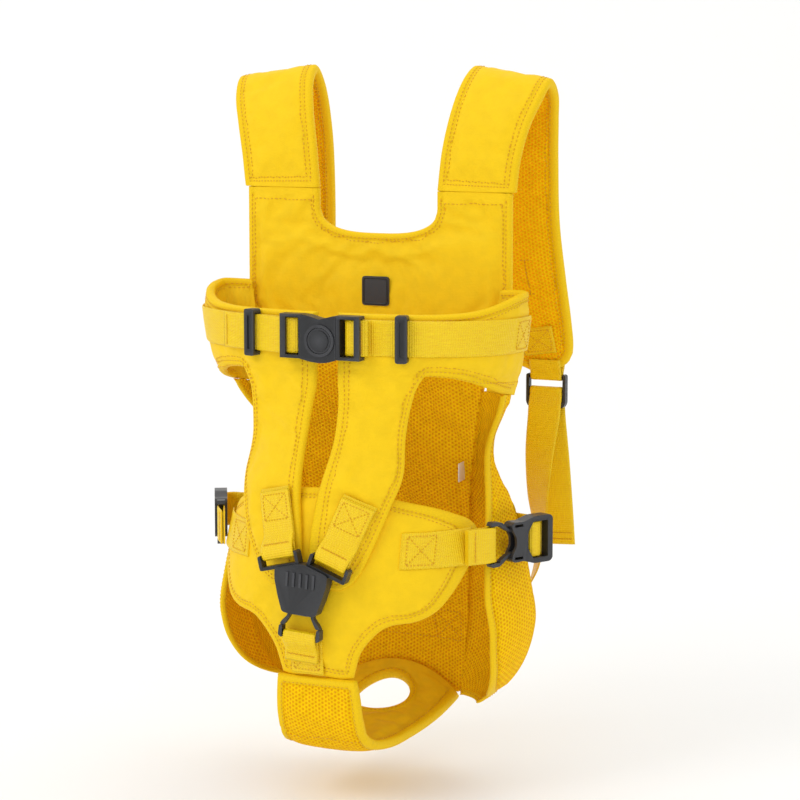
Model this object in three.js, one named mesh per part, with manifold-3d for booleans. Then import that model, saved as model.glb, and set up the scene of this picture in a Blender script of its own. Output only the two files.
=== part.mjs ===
// A front carrier vest: a padded back panel and yoke hang from two shoulder straps, and flaps,
// side walls, a crotch panel and a seat close a pouch in front of it, held by plastic buckles.
// Millimetres. +X is the right-hand side seen from the front, +Y points at the wearer, +Z is up.
// The origin lies between the two shoulder straps, under their highest points.
import * as THREE from 'three';
import { mergeVertices } from 'three/addons/utils/BufferGeometryUtils.js';
import Module from 'manifold-3d';

const wasm = await Module();
wasm.setup();

// ---- Driving sizes ----
const CLEAR = 0.3;                 // gap between pieces that touch
const WEBBING_WIDTH = 30;
const WEBBING_THICK = 1.6;
const PAD = 9;                     // padded yoke, straps and chest flaps
const PANEL = 8;                   // back panel with its mesh lining
const WALL = 5;                    // mesh side walls, crotch panel and seat
const STRAP_PAD = 10;
const BAR_RADIUS = 1.4;            // round bars that webbing is folded over

const CHEST_HALF_WIDTH = 134;      // pouch, inside the chest band
const WAIST_HALF_WIDTH = 99;       // pouch, at the arm openings
const POUCH_HALF_WIDTH = 133;      // pouch, at its fullest
const CHEST_FRONT = -128;          // Y of the pouch's front at the chest band
const BELLY_FRONT = -155;          // Y of the pouch's front at the crotch panel

const YOKE_HALF_WIDTH = 123;
const YOKE_Y = -32;                // middle of the yoke's padding
const NECK_Z = -128;               // lowest point of the neck opening
const NECK_HALF_WIDTH = 55;        // at the strap seam
const SEAM_Z = -91;                // seam between yoke and shoulder strap
const STRAP_HALF_WIDTH = 35.5;
const YOKE_BOTTOM_Z = -213;
const BAND_Z = -205;               // middle of the chest webbing
const BAND_TOP_Z = -186;
const BAND_BOTTOM_Z = -238;
const SIDE_DROP = 20;              // how much taller the band is at the sides, below
const SIDE_RISE = 15;              // and above
const FLAP_GAP = 9;                // from the middle to the edge of each chest flap
const FLAP_END_Z = -412;
const DRIFT = -8;                  // the flap ends and crotch buckle hang this far to one side
const PANEL_BOTTOM_Z = -514;
const CROTCH_BOTTOM_Z = -486;
const SEAT_DEPTH_Z = -551;         // lowest point of the seat
const SEAT_HALF_WIDTH = 39;        // at the front
const SEAT_BACK_HALF_WIDTH = 61;
const TAIL_HOLE_RADIUS = 24;
const SIDE_STRAP_Z = -379;
const WING_X = 112;                // tip of each crotch panel wing
const ANCHOR_Z = -474;             // webbing strip across the back panel
const LOCK_Z = -266.5;               // ladder lock, middle bar

// ---- Smooth curves through a few chosen sizes ----
function profile(keys) {
  const slopes = keys.map((key, i) => {
    const before = keys[Math.max(i - 1, 0)];
    const after = keys[Math.min(i + 1, keys.length - 1)];
    return (after[1] - before[1]) / (after[0] - before[0]);
  });
  return (place) => {
    const at = THREE.MathUtils.clamp(place, keys[0][0], keys[keys.length - 1][0]);
    let i = 0;
    while (i < keys.length - 2 && at > keys[i + 1][0]) i += 1;
    const span = keys[i + 1][0] - keys[i][0];
    const s = (at - keys[i][0]) / span;
    const rise = (3 - 2 * s) * s * s;
    const lean = (s - 1) * (s - 1) * s * span * slopes[i] + (s - 1) * s * s * span * slopes[i + 1];
    return keys[i][1] + rise * (keys[i + 1][1] - keys[i][1]) + lean;
  };
}

function steps(from, to, count) {
  return Array.from({ length: count + 1 }, (_, i) => from + (to - from) * i / count);
}

// Plan outline of the pouch at a height: half width, Y where it is widest, front Y and back Y.
const halfWidth = profile([[-545, 72], [-505, 116], [-460, POUCH_HALF_WIDTH], [-422, 129],
  [-360, 115], [-311, WAIST_HALF_WIDTH], [-262, 121], [BAND_Z, CHEST_HALF_WIDTH], [-160, 138]]);
const widestY = profile([[-545, -28], [-460, -19], [-360, -18], [-311, -24], [-250, -47],
  [BAND_Z, -54], [-160, -54]]);
const frontY = profile([[-545, -143], [-505, -150], [-460, BELLY_FRONT], [-422, BELLY_FRONT],
  [-360, -147], [-311, -138], [-250, -130], [BAND_Z, CHEST_FRONT], [-160, CHEST_FRONT + 2]]);
const backY = profile([[-545, 14], [-460, 14], [-422, 8], [-360, -6], [-311, -18], [-250, -33],
  [BAND_Z, -36], [-160, -36]]);
const SQUARENESS = 0.85;           // 1 is an ellipse, less is a squarer outline

// Point on the pouch at an angle from the front, pushed out by a distance.
function onPouch(degrees, z, out = 0) {
  const angle = THREE.MathUtils.degToRad(degrees);
  const sine = Math.sin(angle);
  const cosine = Math.cos(angle);
  const depth = (cosine > 0 ? widestY(z) - frontY(z) : backY(z) - widestY(z)) + out;
  return new THREE.Vector3(
    (halfWidth(z) + out) * Math.sign(sine) * Math.abs(sine) ** SQUARENESS,
    widestY(z) - depth * Math.sign(cosine) * Math.abs(cosine) ** SQUARENESS,
    z,
  );
}

// Point on the front of the pouch at a given X, pushed out by a distance.
function onFront(x, z, out = 0) {
  const share = Math.min(Math.abs(x) / (halfWidth(z) + out), 0.999);
  const sine = share ** (1 / SQUARENESS);
  const depth = widestY(z) - frontY(z) + out;
  const y = widestY(z) - depth * Math.sqrt(1 - sine * sine) ** SQUARENESS;
  return new THREE.Vector3(x, y, z);
}

// Middle of the back panel's thickness: it leans away from the pouch and curls at its sides.
const panelY = profile([[-545, 20], [-505, 20], [-460, 18], [-422, 12], [-360, -2], [-311, -14],
  [-250, -29], [YOKE_BOTTOM_Z, YOKE_Y]]);
const panelHalfWidth = profile([[-545, 60], [ANCHOR_Z, 66], [-400, 72], [-330, 81], [-262, 96],
  [YOKE_BOTTOM_Z, 112]]);
const PANEL_CURL = 6;
function onPanel(x, z, out = 0) {
  const share = x / panelHalfWidth(z);
  return new THREE.Vector3(x, panelY(z) - PANEL_CURL * share * share + out, z);
}

// Angle at which the pouch meets the side edge of the back panel.
function seamAngle(z) {
  const share = Math.min((panelHalfWidth(z) + 2 * CLEAR) / halfWidth(z), 0.98);
  return 180 - THREE.MathUtils.radToDeg(Math.asin(share ** (1 / SQUARENESS)));
}

// ---- Bodies ----
// A closed sheet-like body: place(u, v, w) gives a point, w is 0 on one face and 1 on the other.
function sheetBody(us, vs, place) {
  const layer = us.length * vs.length;
  const positions = [];
  for (const w of [0, 1]) {
    for (const v of vs) {
      for (const u of us) positions.push(...place(u, v, w).toArray());
    }
  }
  const at = (i, j, w) => w * layer + j * us.length + i;
  const faces = [];
  const quad = (a, b, c, d) => faces.push(a, b, c, a, c, d);
  const endI = us.length - 1;
  const endJ = vs.length - 1;
  for (let j = 0; j < endJ; j += 1) {
    for (let i = 0; i < endI; i += 1) {
      quad(at(i, j, 1), at(i + 1, j, 1), at(i + 1, j + 1, 1), at(i, j + 1, 1));
      quad(at(i, j, 0), at(i, j + 1, 0), at(i + 1, j + 1, 0), at(i + 1, j, 0));
    }
    quad(at(0, j, 0), at(0, j, 1), at(0, j + 1, 1), at(0, j + 1, 0));
    quad(at(endI, j, 0), at(endI, j + 1, 0), at(endI, j + 1, 1), at(endI, j, 1));
  }
  for (let i = 0; i < endI; i += 1) {
    quad(at(i, 0, 0), at(i + 1, 0, 0), at(i + 1, 0, 1), at(i, 0, 1));
    quad(at(i, endJ, 0), at(i, endJ, 1), at(i + 1, endJ, 1), at(i + 1, endJ, 0));
  }
  const geometry = new THREE.BufferGeometry();
  geometry.setAttribute('position', new THREE.Float32BufferAttribute(positions, 3));
  geometry.setIndex(faces);
  return facingOut(geometry);
}

function facingOut(geometry) {
  const position = geometry.getAttribute('position');
  const index = geometry.index.array;
  const [a, b, c] = [new THREE.Vector3(), new THREE.Vector3(), new THREE.Vector3()];
  let volume = 0;
  for (let i = 0; i < index.length; i += 3) {
    a.fromBufferAttribute(position, index[i]);
    b.fromBufferAttribute(position, index[i + 1]);
    c.fromBufferAttribute(position, index[i + 2]);
    volume += a.dot(b.cross(c));
  }
  if (volume < 0) {
    for (let i = 0; i < index.length; i += 3) {
      [index[i], index[i + 1]] = [index[i + 1], index[i]];
    }
  }
  return geometry;
}

function mirrored(geometry) {
  return facingOut(geometry.clone().scale(-1, 1, 1));
}

// A flat strap along a path; across is the direction of its width.
function ribbon(path, across, width, thick) {
  const side = across.clone().normalize().multiplyScalar(width / 2);
  return sheetBody([-1, 1], path.map((_, i) => i), (u, i, w) => {
    const before = path[Math.max(i - 1, 0)];
    const after = path[Math.min(i + 1, path.length - 1)];
    const normal = after.clone().sub(before).cross(side).normalize();
    return path[i].clone().addScaledVector(side, u).addScaledVector(normal, (w - 0.5) * thick);
  });
}

// Upright webbing round the pouch: each stop gives a point at a height.
function laidWebbing(stops, middleZ) {
  return sheetBody([-1, 0, 1], stops.map((_, i) => i), (u, i, w) => {
    const z = middleZ + u * WEBBING_WIDTH / 2;
    const before = stops[Math.max(i - 1, 0)](z);
    const after = stops[Math.min(i + 1, stops.length - 1)](z);
    const normal = new THREE.Vector3(before.y - after.y, after.x - before.x, 0).normalize();
    return stops[i](z).addScaledVector(normal, (w - 0.5) * WEBBING_THICK);
  });
}

// ---- Solids for the moulded pieces ----
function indexed(geometry) {
  const plain = geometry.clone();
  plain.deleteAttribute('normal');
  plain.deleteAttribute('uv');
  return mergeVertices(plain, 1e-4);
}

function solid(geometry) {
  const merged = indexed(geometry);
  return new wasm.Manifold(new wasm.Mesh({
    numProp: 3,
    vertProperties: new Float32Array(merged.getAttribute('position').array),
    triVerts: new Uint32Array(merged.index.array),
  }));
}

function fromSolid(manifold) {
  const mesh = manifold.getMesh();
  const geometry = new THREE.BufferGeometry();
  geometry.setAttribute('position', new THREE.Float32BufferAttribute(mesh.vertProperties, 3));
  geometry.setIndex(Array.from(mesh.triVerts));
  return geometry;
}

function join(...geometries) {
  return fromSolid(geometries.map(solid).reduce((all, next) => all.add(next)));
}

function cut(base, ...tools) {
  return fromSolid(tools.map(solid).reduce((rest, tool) => rest.subtract(tool), solid(base)));
}

function box(lowX, highX, lowY, highY, lowZ, highZ) {
  const geometry = new THREE.BoxGeometry(highX - lowX, highY - lowY, highZ - lowZ);
  return geometry.translate((lowX + highX) / 2, (lowY + highY) / 2, (lowZ + highZ) / 2);
}

// A plate between two Y planes; its outline is drawn as [x, z] points with rounded corners.
function plate(points, radius, nearY, farY) {
  const corners = points.map(([x, z]) => new THREE.Vector2(x, z));
  const shape = new THREE.Shape();
  corners.forEach((corner, i) => {
    const before = corners[(i + corners.length - 1) % corners.length];
    const after = corners[(i + 1) % corners.length];
    const reach = Math.min(radius, corner.distanceTo(before) / 2.5, corner.distanceTo(after) / 2.5);
    const enter = corner.clone().lerp(before, reach / corner.distanceTo(before));
    const leave = corner.clone().lerp(after, reach / corner.distanceTo(after));
    if (i === 0) shape.moveTo(enter.x, enter.y);
    else shape.lineTo(enter.x, enter.y);
    shape.quadraticCurveTo(corner.x, corner.y, leave.x, leave.y);
  });
  const geometry = new THREE.ExtrudeGeometry(shape, {
    depth: farY - nearY, bevelEnabled: false, curveSegments: 3,
  });
  return geometry.rotateX(Math.PI / 2).translate(0, farY, 0);
}

function disc(radius, nearY, farY, x, z) {
  const geometry = new THREE.CylinderGeometry(radius, radius, farY - nearY, 32);
  return geometry.translate(x, (nearY + farY) / 2, z);
}

// A round bar for webbing, lying along Z.
function rod(x, y, halfLength) {
  const geometry = new THREE.CylinderGeometry(BAR_RADIUS, BAR_RADIUS, 2 * halfLength, 12);
  return geometry.rotateX(Math.PI / 2).translate(x, y, 0);
}

function bothEnds(points) {
  return [...points, ...points.slice().reverse().map(([x, z]) => [x, -z])];
}

// ---- Parts list ----
const fabric = new THREE.MeshStandardMaterial({ color: 0xf4ce00, roughness: 0.75, metalness: 0 });
const mesh3d = new THREE.MeshStandardMaterial({ color: 0xe8ac00, roughness: 0.9, metalness: 0 });
const webbing = new THREE.MeshStandardMaterial({ color: 0xfbe222, roughness: 0.6, metalness: 0 });
const plastic = new THREE.MeshStandardMaterial({ color: 0x2a2b2e, roughness: 0.45, metalness: 0 });
const rubber = new THREE.MeshStandardMaterial({ color: 0x181816, roughness: 0.6, metalness: 0 });
const tape = new THREE.MeshStandardMaterial({ color: 0xf4f2ea, roughness: 0.7, metalness: 0 });

const vest = new THREE.Group();

function add(name, geometry, material, matrix) {
  const mesh = new THREE.Mesh(geometry, material);
  mesh.name = name;
  if (matrix) mesh.applyMatrix4(matrix);
  vest.add(mesh);
}

// Adds a piece drawn on the right-hand side, and its mirror image on the left.
function addPair(name, geometry, material, matrix = new THREE.Matrix4()) {
  const placed = geometry.clone().applyMatrix4(matrix);
  add(`${name}_right`, placed, material);
  add(`${name}_left`, mirrored(indexedIfNeeded(placed)), material);
}

function indexedIfNeeded(geometry) {
  return geometry.index ? geometry : indexed(geometry);
}

// ---- Yoke: the smooth bib with a U-shaped neck ----
const NECK_CORNER = 20;            // height of the round part of the U, above its lowest point
function neckZ(x) {
  const share = Math.min(Math.abs(x) / NECK_HALF_WIDTH, 1);
  return share >= 1 ? SEAM_Z : NECK_Z + NECK_CORNER * (1 - Math.sqrt(1 - share ** 3));
}
function yokeBottom(x) {
  const past = Math.max(Math.abs(x) - panelHalfWidth(YOKE_BOTTOM_Z) + 2, 0);
  return YOKE_BOTTOM_Z + 1.6 * past;
}
const yokeTopX = [-YOKE_HALF_WIDTH, -105, -80, -NECK_HALF_WIDTH - 0.5, -NECK_HALF_WIDTH + 0.4,
  -52, -46, -36, -22, -8, 8, 22, 36, 46, 52, NECK_HALF_WIDTH - 0.4, NECK_HALF_WIDTH + 0.5, 80, 105,
  YOKE_HALF_WIDTH];
add('yoke_panel', sheetBody(yokeTopX, steps(0, 1, 6), (x, v, w) => {
  const z = THREE.MathUtils.lerp(yokeBottom(x), neckZ(x), v);
  return new THREE.Vector3(x, YOKE_Y + (w - 0.5) * PAD, z);
}), fabric);

// ---- Badge on the yoke, with no mark on it ----
const BADGE = 25;
const BADGE_Z = -177;
const yokeFace = YOKE_Y - PAD / 2 - CLEAR;
add('badge', plate([[-BADGE / 2, BADGE_Z - BADGE / 2], [BADGE / 2, BADGE_Z - BADGE / 2],
  [BADGE / 2, BADGE_Z + BADGE / 2], [-BADGE / 2, BADGE_Z + BADGE / 2]], 3, yokeFace - 1.8,
yokeFace), rubber);

// ---- Shoulder straps: over the shoulder and down behind it to a rounded end ----
const strapRoute = [
  // X of the middle, Y, Z, half width
  [90.5, YOKE_Y, SEAM_Z + CLEAR, STRAP_HALF_WIDTH],
  [94, -31, -60, STRAP_HALF_WIDTH],
  [100, -26, -30, 36],
  [106, -16, -8, 37],
  [109.5, 0, 4.6, 37],
  [109, 16, -8, 36],
  [107, 25, -30, 34.5],
  [105.5, 30, -62, 34],
  [106, 36, -120, 33],
  [110, 43, -170, 32.5],
  [115.5, 48.5, -212, 31],
  [119.5, 51.5, -236, 27.5],
  [120.5, 52.2, -245, 21],
  [121, 52.6, -250, 11],
];
const STRAP_TILT = 0.16;           // drop of the outer edge per millimetre of width, at the crest
function strapBody() {
  const centre = strapRoute.map(([x, y, z]) => new THREE.Vector3(x, y, z));
  return sheetBody(steps(-1, 1, 4), centre.map((_, i) => i), (u, i, w) => {
    const tangent = centre[Math.min(i + 1, centre.length - 1)].clone()
      .sub(centre[Math.max(i - 1, 0)]);
    if (i === 0) tangent.set(0, 0, 1);
    const flat = 1 - Math.min(Math.abs(centre[i].z) / 60, 1);
    const across = new THREE.Vector3(1, 0, -STRAP_TILT * flat);
    tangent.addScaledVector(across, -tangent.dot(across) / across.lengthSq());
    const normal = tangent.clone().cross(across).normalize();
    const edge = (STRAP_PAD / 2) * (w - 0.5) * 2;
    return centre[i].clone().addScaledVector(across, u * strapRoute[i][3])
      .addScaledVector(normal, edge);
  });
}
addPair('shoulder_strap', strapBody(), fabric);

// ---- Back panel ----
add('back_panel', sheetBody(steps(-1, 1, 8), steps(0, 1, 12), (u, v, w) => {
  const arch = 26 * u * u;
  const z = THREE.MathUtils.lerp(PANEL_BOTTOM_Z - arch, YOKE_BOTTOM_Z - CLEAR, v);
  return onPanel(u * panelHalfWidth(z), z, (w - 0.5) * PANEL);
}), mesh3d);

// ---- Webbing strip across the back panel, where the shoulder webbing ends ----
const stripHalf = WEBBING_WIDTH / 2;
const STRIP_HALF_LENGTH = 64;
add('rear_anchor_strip', sheetBody(steps(-1, 1, 6), steps(-1, 1, 2), (u, v, w) => {
  const z = ANCHOR_Z + v * stripHalf;
  const out = PANEL / 2 + CLEAR + 0.25 + w * WEBBING_THICK;
  return onPanel(u * STRIP_HALF_LENGTH, z, out);
}), webbing);

// ---- Care label, blank, caught in the right-hand seam ----
const LABEL_Z = -330;
const labelX = panelHalfWidth(LABEL_Z) - 6;
add('care_label', sheetBody([-1, 1], [-1, 1], (u, v, w) => {
  const foot = onPanel(labelX, LABEL_Z + v * 8, -PANEL / 2 - 2 * CLEAR);
  return foot.add(new THREE.Vector3(u * 0.4, -12 * w, 0));
}), tape);

// ---- Side walls: mesh, from the back panel's seam round to a free front edge ----
const WALL_TOP_Z = BAND_BOTTOM_Z - SIDE_DROP - 1.7;
const WALL_BOTTOM_Z = -534;
const freeEdge = profile([[-545, 112], [-530, 96], [-512, 80], [-485, 70], [-460, 66],
  [-422, 65], [-360, 73], [-311, 86], [WALL_TOP_Z, 84]]);
addPair('side_wall', sheetBody(steps(0, 1, 7), steps(WALL_BOTTOM_Z, WALL_TOP_Z, 16),
  (u, z, w) => onPouch(THREE.MathUtils.lerp(freeEdge(z), seamAngle(z), u), z, w * WALL)), mesh3d);

// ---- Chest flaps: half the chest band and a padded belly strap, in one cloth ----
const bandTop = profile([[0, BAND_TOP_Z], [50, BAND_TOP_Z + 2], [90, BAND_TOP_Z + SIDE_RISE],
  [130, BAND_TOP_Z + SIDE_RISE]]);
const bandBottom = profile([[0, BAND_BOTTOM_Z], [45, BAND_BOTTOM_Z], [90, BAND_BOTTOM_Z - SIDE_DROP],
  [130, BAND_BOTTOM_Z - SIDE_DROP]]);
const YOKE_MEETS = 125.8;            // angle from the front where the band meets the yoke
const beltMiddle = profile([[FLAP_END_Z, 22], [-380, 28], [-330, 37], [-290, 39.5], [-238, 41],
  [-222, 41]]);
const beltHalfWidth = profile([[FLAP_END_Z, 8], [FLAP_END_Z + 6, 17], [-380, 25], [-330, 29],
  [-290, 27.5], [-250, 31], [-238, 36], [-222, 36]]);
const beltOut = profile([[FLAP_END_Z, WALL + 0.5], [-345, WALL + 0.9], [-322, WALL + 0.9],
  [-285, 0.4], [-222, 0.4]]);
const beltPad = profile([[FLAP_END_Z, 3.2], [-398, 3.8], [-366, 7.5], [-222, 7.5]]);
const drift = profile([[-340, DRIFT], [-250, 0]]);

function flap(side) {
  const startAngle = THREE.MathUtils.radToDeg(
    Math.asin((FLAP_GAP / halfWidth(BAND_Z)) ** (1 / SQUARENESS)));
  const band = sheetBody(steps(0, 1, 14), steps(0, 1, 4), (u, v, w) => {
    const roughly = THREE.MathUtils.lerp(startAngle, YOKE_MEETS, u);
    const z = THREE.MathUtils.lerp(bandBottom(roughly), bandTop(roughly), v);
    const end = z > YOKE_BOTTOM_Z ? YOKE_MEETS : seamAngle(z) - 1;
    const point = onPouch(THREE.MathUtils.lerp(startAngle, end, u), z, w * PAD);
    point.x *= side;
    return point;
  });
  const belt = sheetBody(steps(-1, 1, 5), steps(FLAP_END_Z, -222, 16), (u, z, w) => {
    const x = side * (beltMiddle(z) + u * beltHalfWidth(z)) + drift(z);
    return onFront(x, z, beltOut(z) + w * beltPad(z));
  });
  return join(band, belt);
}
add('chest_flap_right', flap(1), fabric);
add('chest_flap_left', flap(-1), fabric);

// ---- Crotch panel: a leaf with a wing on each side ----
const crotchTop = profile([[0, -330], [40, -333], [70, -341], [88, -347], [102, -355],
  [108, -361], [WING_X, -370]]);
const crotchBottom = profile([[0, CROTCH_BOTTOM_Z], [33, CROTCH_BOTTOM_Z], [36, -472], [44, -457],
  [60, -442], [83, -437], [96, -429], [104, -416], [108, -406], [WING_X, -392]]);
const crotchX = [0, 16, 33, 36, 40, 44, 52, 60, 72, 83, 90, 96, 100, 104, 108, WING_X];
add('crotch_panel', sheetBody([...crotchX.slice(1).reverse().map((x) => -x), ...crotchX],
  steps(0, 1, 7), (x, v, w) => {
    const z = THREE.MathUtils.lerp(crotchBottom(Math.abs(x)), crotchTop(Math.abs(x)), v);
    return onFront(x, z, w * WALL);
  }), fabric);

// ---- Seat: a mesh sling from the crotch panel under to the back panel, with a tail hole ----
const seatRoute = [
  // Y, Z, half width, drop of the side edges
  [BELLY_FRONT - 0.5, CROTCH_BOTTOM_Z - 1.7, SEAT_HALF_WIDTH - 3, 0],
  [BELLY_FRONT + 2, -505, SEAT_HALF_WIDTH - 1, 0],
  [BELLY_FRONT + 5, -522, SEAT_HALF_WIDTH, 0],
  [BELLY_FRONT + 13, -540, SEAT_HALF_WIDTH + 1, -1],
  [BELLY_FRONT + 27, SEAT_DEPTH_Z + 2, 43, -1],
  [-100, SEAT_DEPTH_Z, 47, 1],
  [-72, SEAT_DEPTH_Z + 3, 50, 3],
  [-48, SEAT_DEPTH_Z + 9, 54, 6],
  [-26, SEAT_DEPTH_Z + 17, 57, 10],
  [-4, SEAT_DEPTH_Z + 27, 59, 15],
  [13.4, SEAT_DEPTH_Z + 38.4, SEAT_BACK_HALF_WIDTH - 1.6, 23],
];
const seatSling = sheetBody(steps(-1, 1, 8), seatRoute.map((_, i) => i), (u, i, w) => {
  const [y, z, half, drop] = seatRoute[i];
  const before = seatRoute[Math.max(i - 1, 0)];
  const after = seatRoute[Math.min(i + 1, seatRoute.length - 1)];
  const along = new THREE.Vector2(after[0] - before[0], after[1] - before[1]).normalize();
  const curl = i > 6 ? PANEL_CURL * u * u * (i - 6) / 4 : 0;
  return new THREE.Vector3(u * half, y - curl + along.y * w * WALL,
    z - drop * u * u - along.x * w * WALL);
});
const tailHole = new THREE.CylinderGeometry(TAIL_HOLE_RADIUS, TAIL_HOLE_RADIUS, 60, 28)
  .rotateX(Math.PI / 2).translate(0, -24, SEAT_DEPTH_Z + 17);
add('seat_panel', cut(seatSling, tailHole), mesh3d);

// ---- Plug of a side-release buckle: a webbing bar between two rails, and two squeeze prongs ----
// Local axes: +X goes into the socket, Z is the webbing's width, -Y is outward.
const RAIL_Z = WEBBING_WIDTH / 2 + 0.6;
const RAIL = 3;
const PLUG_BACK_X = -33;
const PRONG_ROOT_X = -22;
const PRONG_Z = 11.8;              // outer face of a prong inside the socket
const PRONG_TIP_X = 4.5;
const MOUTH_X = -10;
const BAR_X = -29;                 // middle of the plug's webbing bar
const HALF_THICK = 5.5;
const plugBody = join(
  rod(BAR_X, 0, RAIL_Z + 1),
  plate([[PLUG_BACK_X, RAIL_Z], [PRONG_ROOT_X - CLEAR, RAIL_Z], [PRONG_ROOT_X - CLEAR, RAIL_Z + RAIL],
    [PLUG_BACK_X + 2, RAIL_Z + RAIL + 0.6]], 1.4, -3.4, 3.4),
  plate([[PLUG_BACK_X, -RAIL_Z], [PLUG_BACK_X + 2, -RAIL_Z - RAIL - 0.6],
    [PRONG_ROOT_X - CLEAR, -RAIL_Z - RAIL], [PRONG_ROOT_X - CLEAR, -RAIL_Z]], 1.4, -3.4, 3.4),
);
const prongOutline = [[PRONG_ROOT_X, RAIL_Z + RAIL], [-18.5, RAIL_Z + 1], [-13.5, PRONG_Z + 0.2],
  [MOUTH_X + 1, PRONG_Z], [PRONG_TIP_X - 1, PRONG_Z], [PRONG_TIP_X, PRONG_Z - 2],
  [PRONG_TIP_X, PRONG_Z - 3.6], [-9, PRONG_Z - 3.4], [-14, PRONG_Z - 2], [-18, RAIL_Z - 3.6],
  [PRONG_ROOT_X, RAIL_Z - 1]];
const prong = plate(prongOutline, 1.2, -2.3, 2.3);
const lowerProng = plate(prongOutline.map(([x, z]) => [x, -z]).reverse(), 1.2, -2.3, 2.3);

// The room that a plug's prongs take inside a socket.
const socketRoom = box(MOUTH_X - 6, PRONG_TIP_X + 1, -2.7, 2.7, -PRONG_Z - 0.5, PRONG_Z + 0.5);

// ---- Socket of a side-release buckle, waisted like an X ----
const SOCKET_END_X = 33;
const SLOT_Z = WEBBING_WIDTH / 2 + 0.5;
const socketOutline = bothEnds([[SOCKET_END_X, 17.5], [30, 20], [13, 20], [6, 18], [1, 16.6],
  [-9, 17], [-12, 14.6], [MOUTH_X, 9], [-6.5, 4]]);
const socketBody = cut(
  plate(socketOutline, 2, -HALF_THICK, HALF_THICK),
  socketRoom,
  plate([[6, -7], [11.5, -SLOT_Z], [27.7, -SLOT_Z], [27.7, SLOT_Z], [11.5, SLOT_Z], [6, 7]],
    1, -HALF_THICK - 1, -3.2),
  box(8, 14, -3.4, HALF_THICK + 1, -SLOT_Z, SLOT_Z),
  box(19.5, 27.7, -3.4, HALF_THICK + 1, -SLOT_Z, SLOT_Z),
  box(13, 20, -3.4, -1.4, -SLOT_Z, SLOT_Z),
  box(13, SOCKET_END_X + 1, 2.4, HALF_THICK + 1, -SLOT_Z, SLOT_Z),
  box(-8.5, 0.5, -HALF_THICK - 1, HALF_THICK + 1, 12.6, 14.8),
  box(-8.5, 0.5, -HALF_THICK - 1, HALF_THICK + 1, -14.8, -12.6),
);

// Webbing folded round a bar in local X and Y: each layer runs on through its own points.
const FOLD_GAP = BAR_RADIUS + CLEAR + WEBBING_THICK / 2;
function fold(barX, barY, bend, inner, outer, width = WEBBING_WIDTH) {
  const turn = steps(90, -90, 6).map((degrees) => {
    const angle = THREE.MathUtils.degToRad(degrees);
    return [barX + bend * FOLD_GAP * Math.cos(angle), barY + FOLD_GAP * Math.sin(angle)];
  });
  const route = [...inner.slice().reverse(), ...turn, ...outer];
  return ribbon(route.map(([x, y]) => new THREE.Vector3(x, y, 0)), new THREE.Vector3(0, 0, 1),
    width, WEBBING_THICK);
}

// ---- Side buckles: they stand off each wing tip and point round to the side wall ----
const SIDE_ANGLE = 62;             // of the buckle's length, from +X towards +Y
const SIDE_BUCKLE_X = 140.2;
const SIDE_BUCKLE_Y = -57.9;
const sideFrame = new THREE.Matrix4().makeRotationZ(THREE.MathUtils.degToRad(SIDE_ANGLE));
sideFrame.setPosition(SIDE_BUCKLE_X, SIDE_BUCKLE_Y, SIDE_STRAP_Z);
addPair('side_buckle_plug', plugBody, plastic, sideFrame);
addPair('side_buckle_upper_prong', prong, plastic, sideFrame);
addPair('side_buckle_lower_prong', lowerProng, plastic, sideFrame);
addPair('side_buckle_socket', socketBody, plastic, sideFrame);
const SIDE_LOOP_X = BAR_X - 26;
addPair('side_plug_loop', fold(BAR_X, 0, 1, [[SIDE_LOOP_X, FOLD_GAP]],
  [[BAR_X - 8, -FOLD_GAP], [BAR_X - 14, -1.4], [SIDE_LOOP_X, 0.3]]), webbing, sideFrame);

// ---- Webbing sewn on each wing, leading to the plug ----
const wingStrapX = [69, 76, 84, 92, 100, 106, WING_X - 1];
addPair('wing_webbing', sheetBody([-1, 1], wingStrapX, (u, x, w) => {
  const z = SIDE_STRAP_Z + u * WEBBING_WIDTH / 2;
  return onFront(x, z, WALL + CLEAR + 0.6 + w * WEBBING_THICK);
}), webbing);

// ---- Webbing from each socket back to the side wall's seam ----
const wallFace = (degrees) => (z) => onPouch(degrees, z, WALL + 2 * CLEAR + WEBBING_THICK / 2);
const socketStop = ([x, y]) => (z) => {
  const point = new THREE.Vector3(x, y, 0).applyMatrix4(sideFrame);
  return point.setZ(z);
};
addPair('side_anchor_webbing', laidWebbing([
  ...[[12.3, 3.8], [11.2, 2.6], [11.2, -1.1], [12.6, -2.6], [20.4, -2.6], [22.4, -0.9],
    [24.5, 2.4], [28, 3.9], [SOCKET_END_X + 1, 5.4], [SOCKET_END_X + 3, 12],
    [SOCKET_END_X, 19]].map(socketStop),
  ...[101, 108, 116, 125, 134].map(wallFace),
], SIDE_STRAP_Z), webbing);

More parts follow.
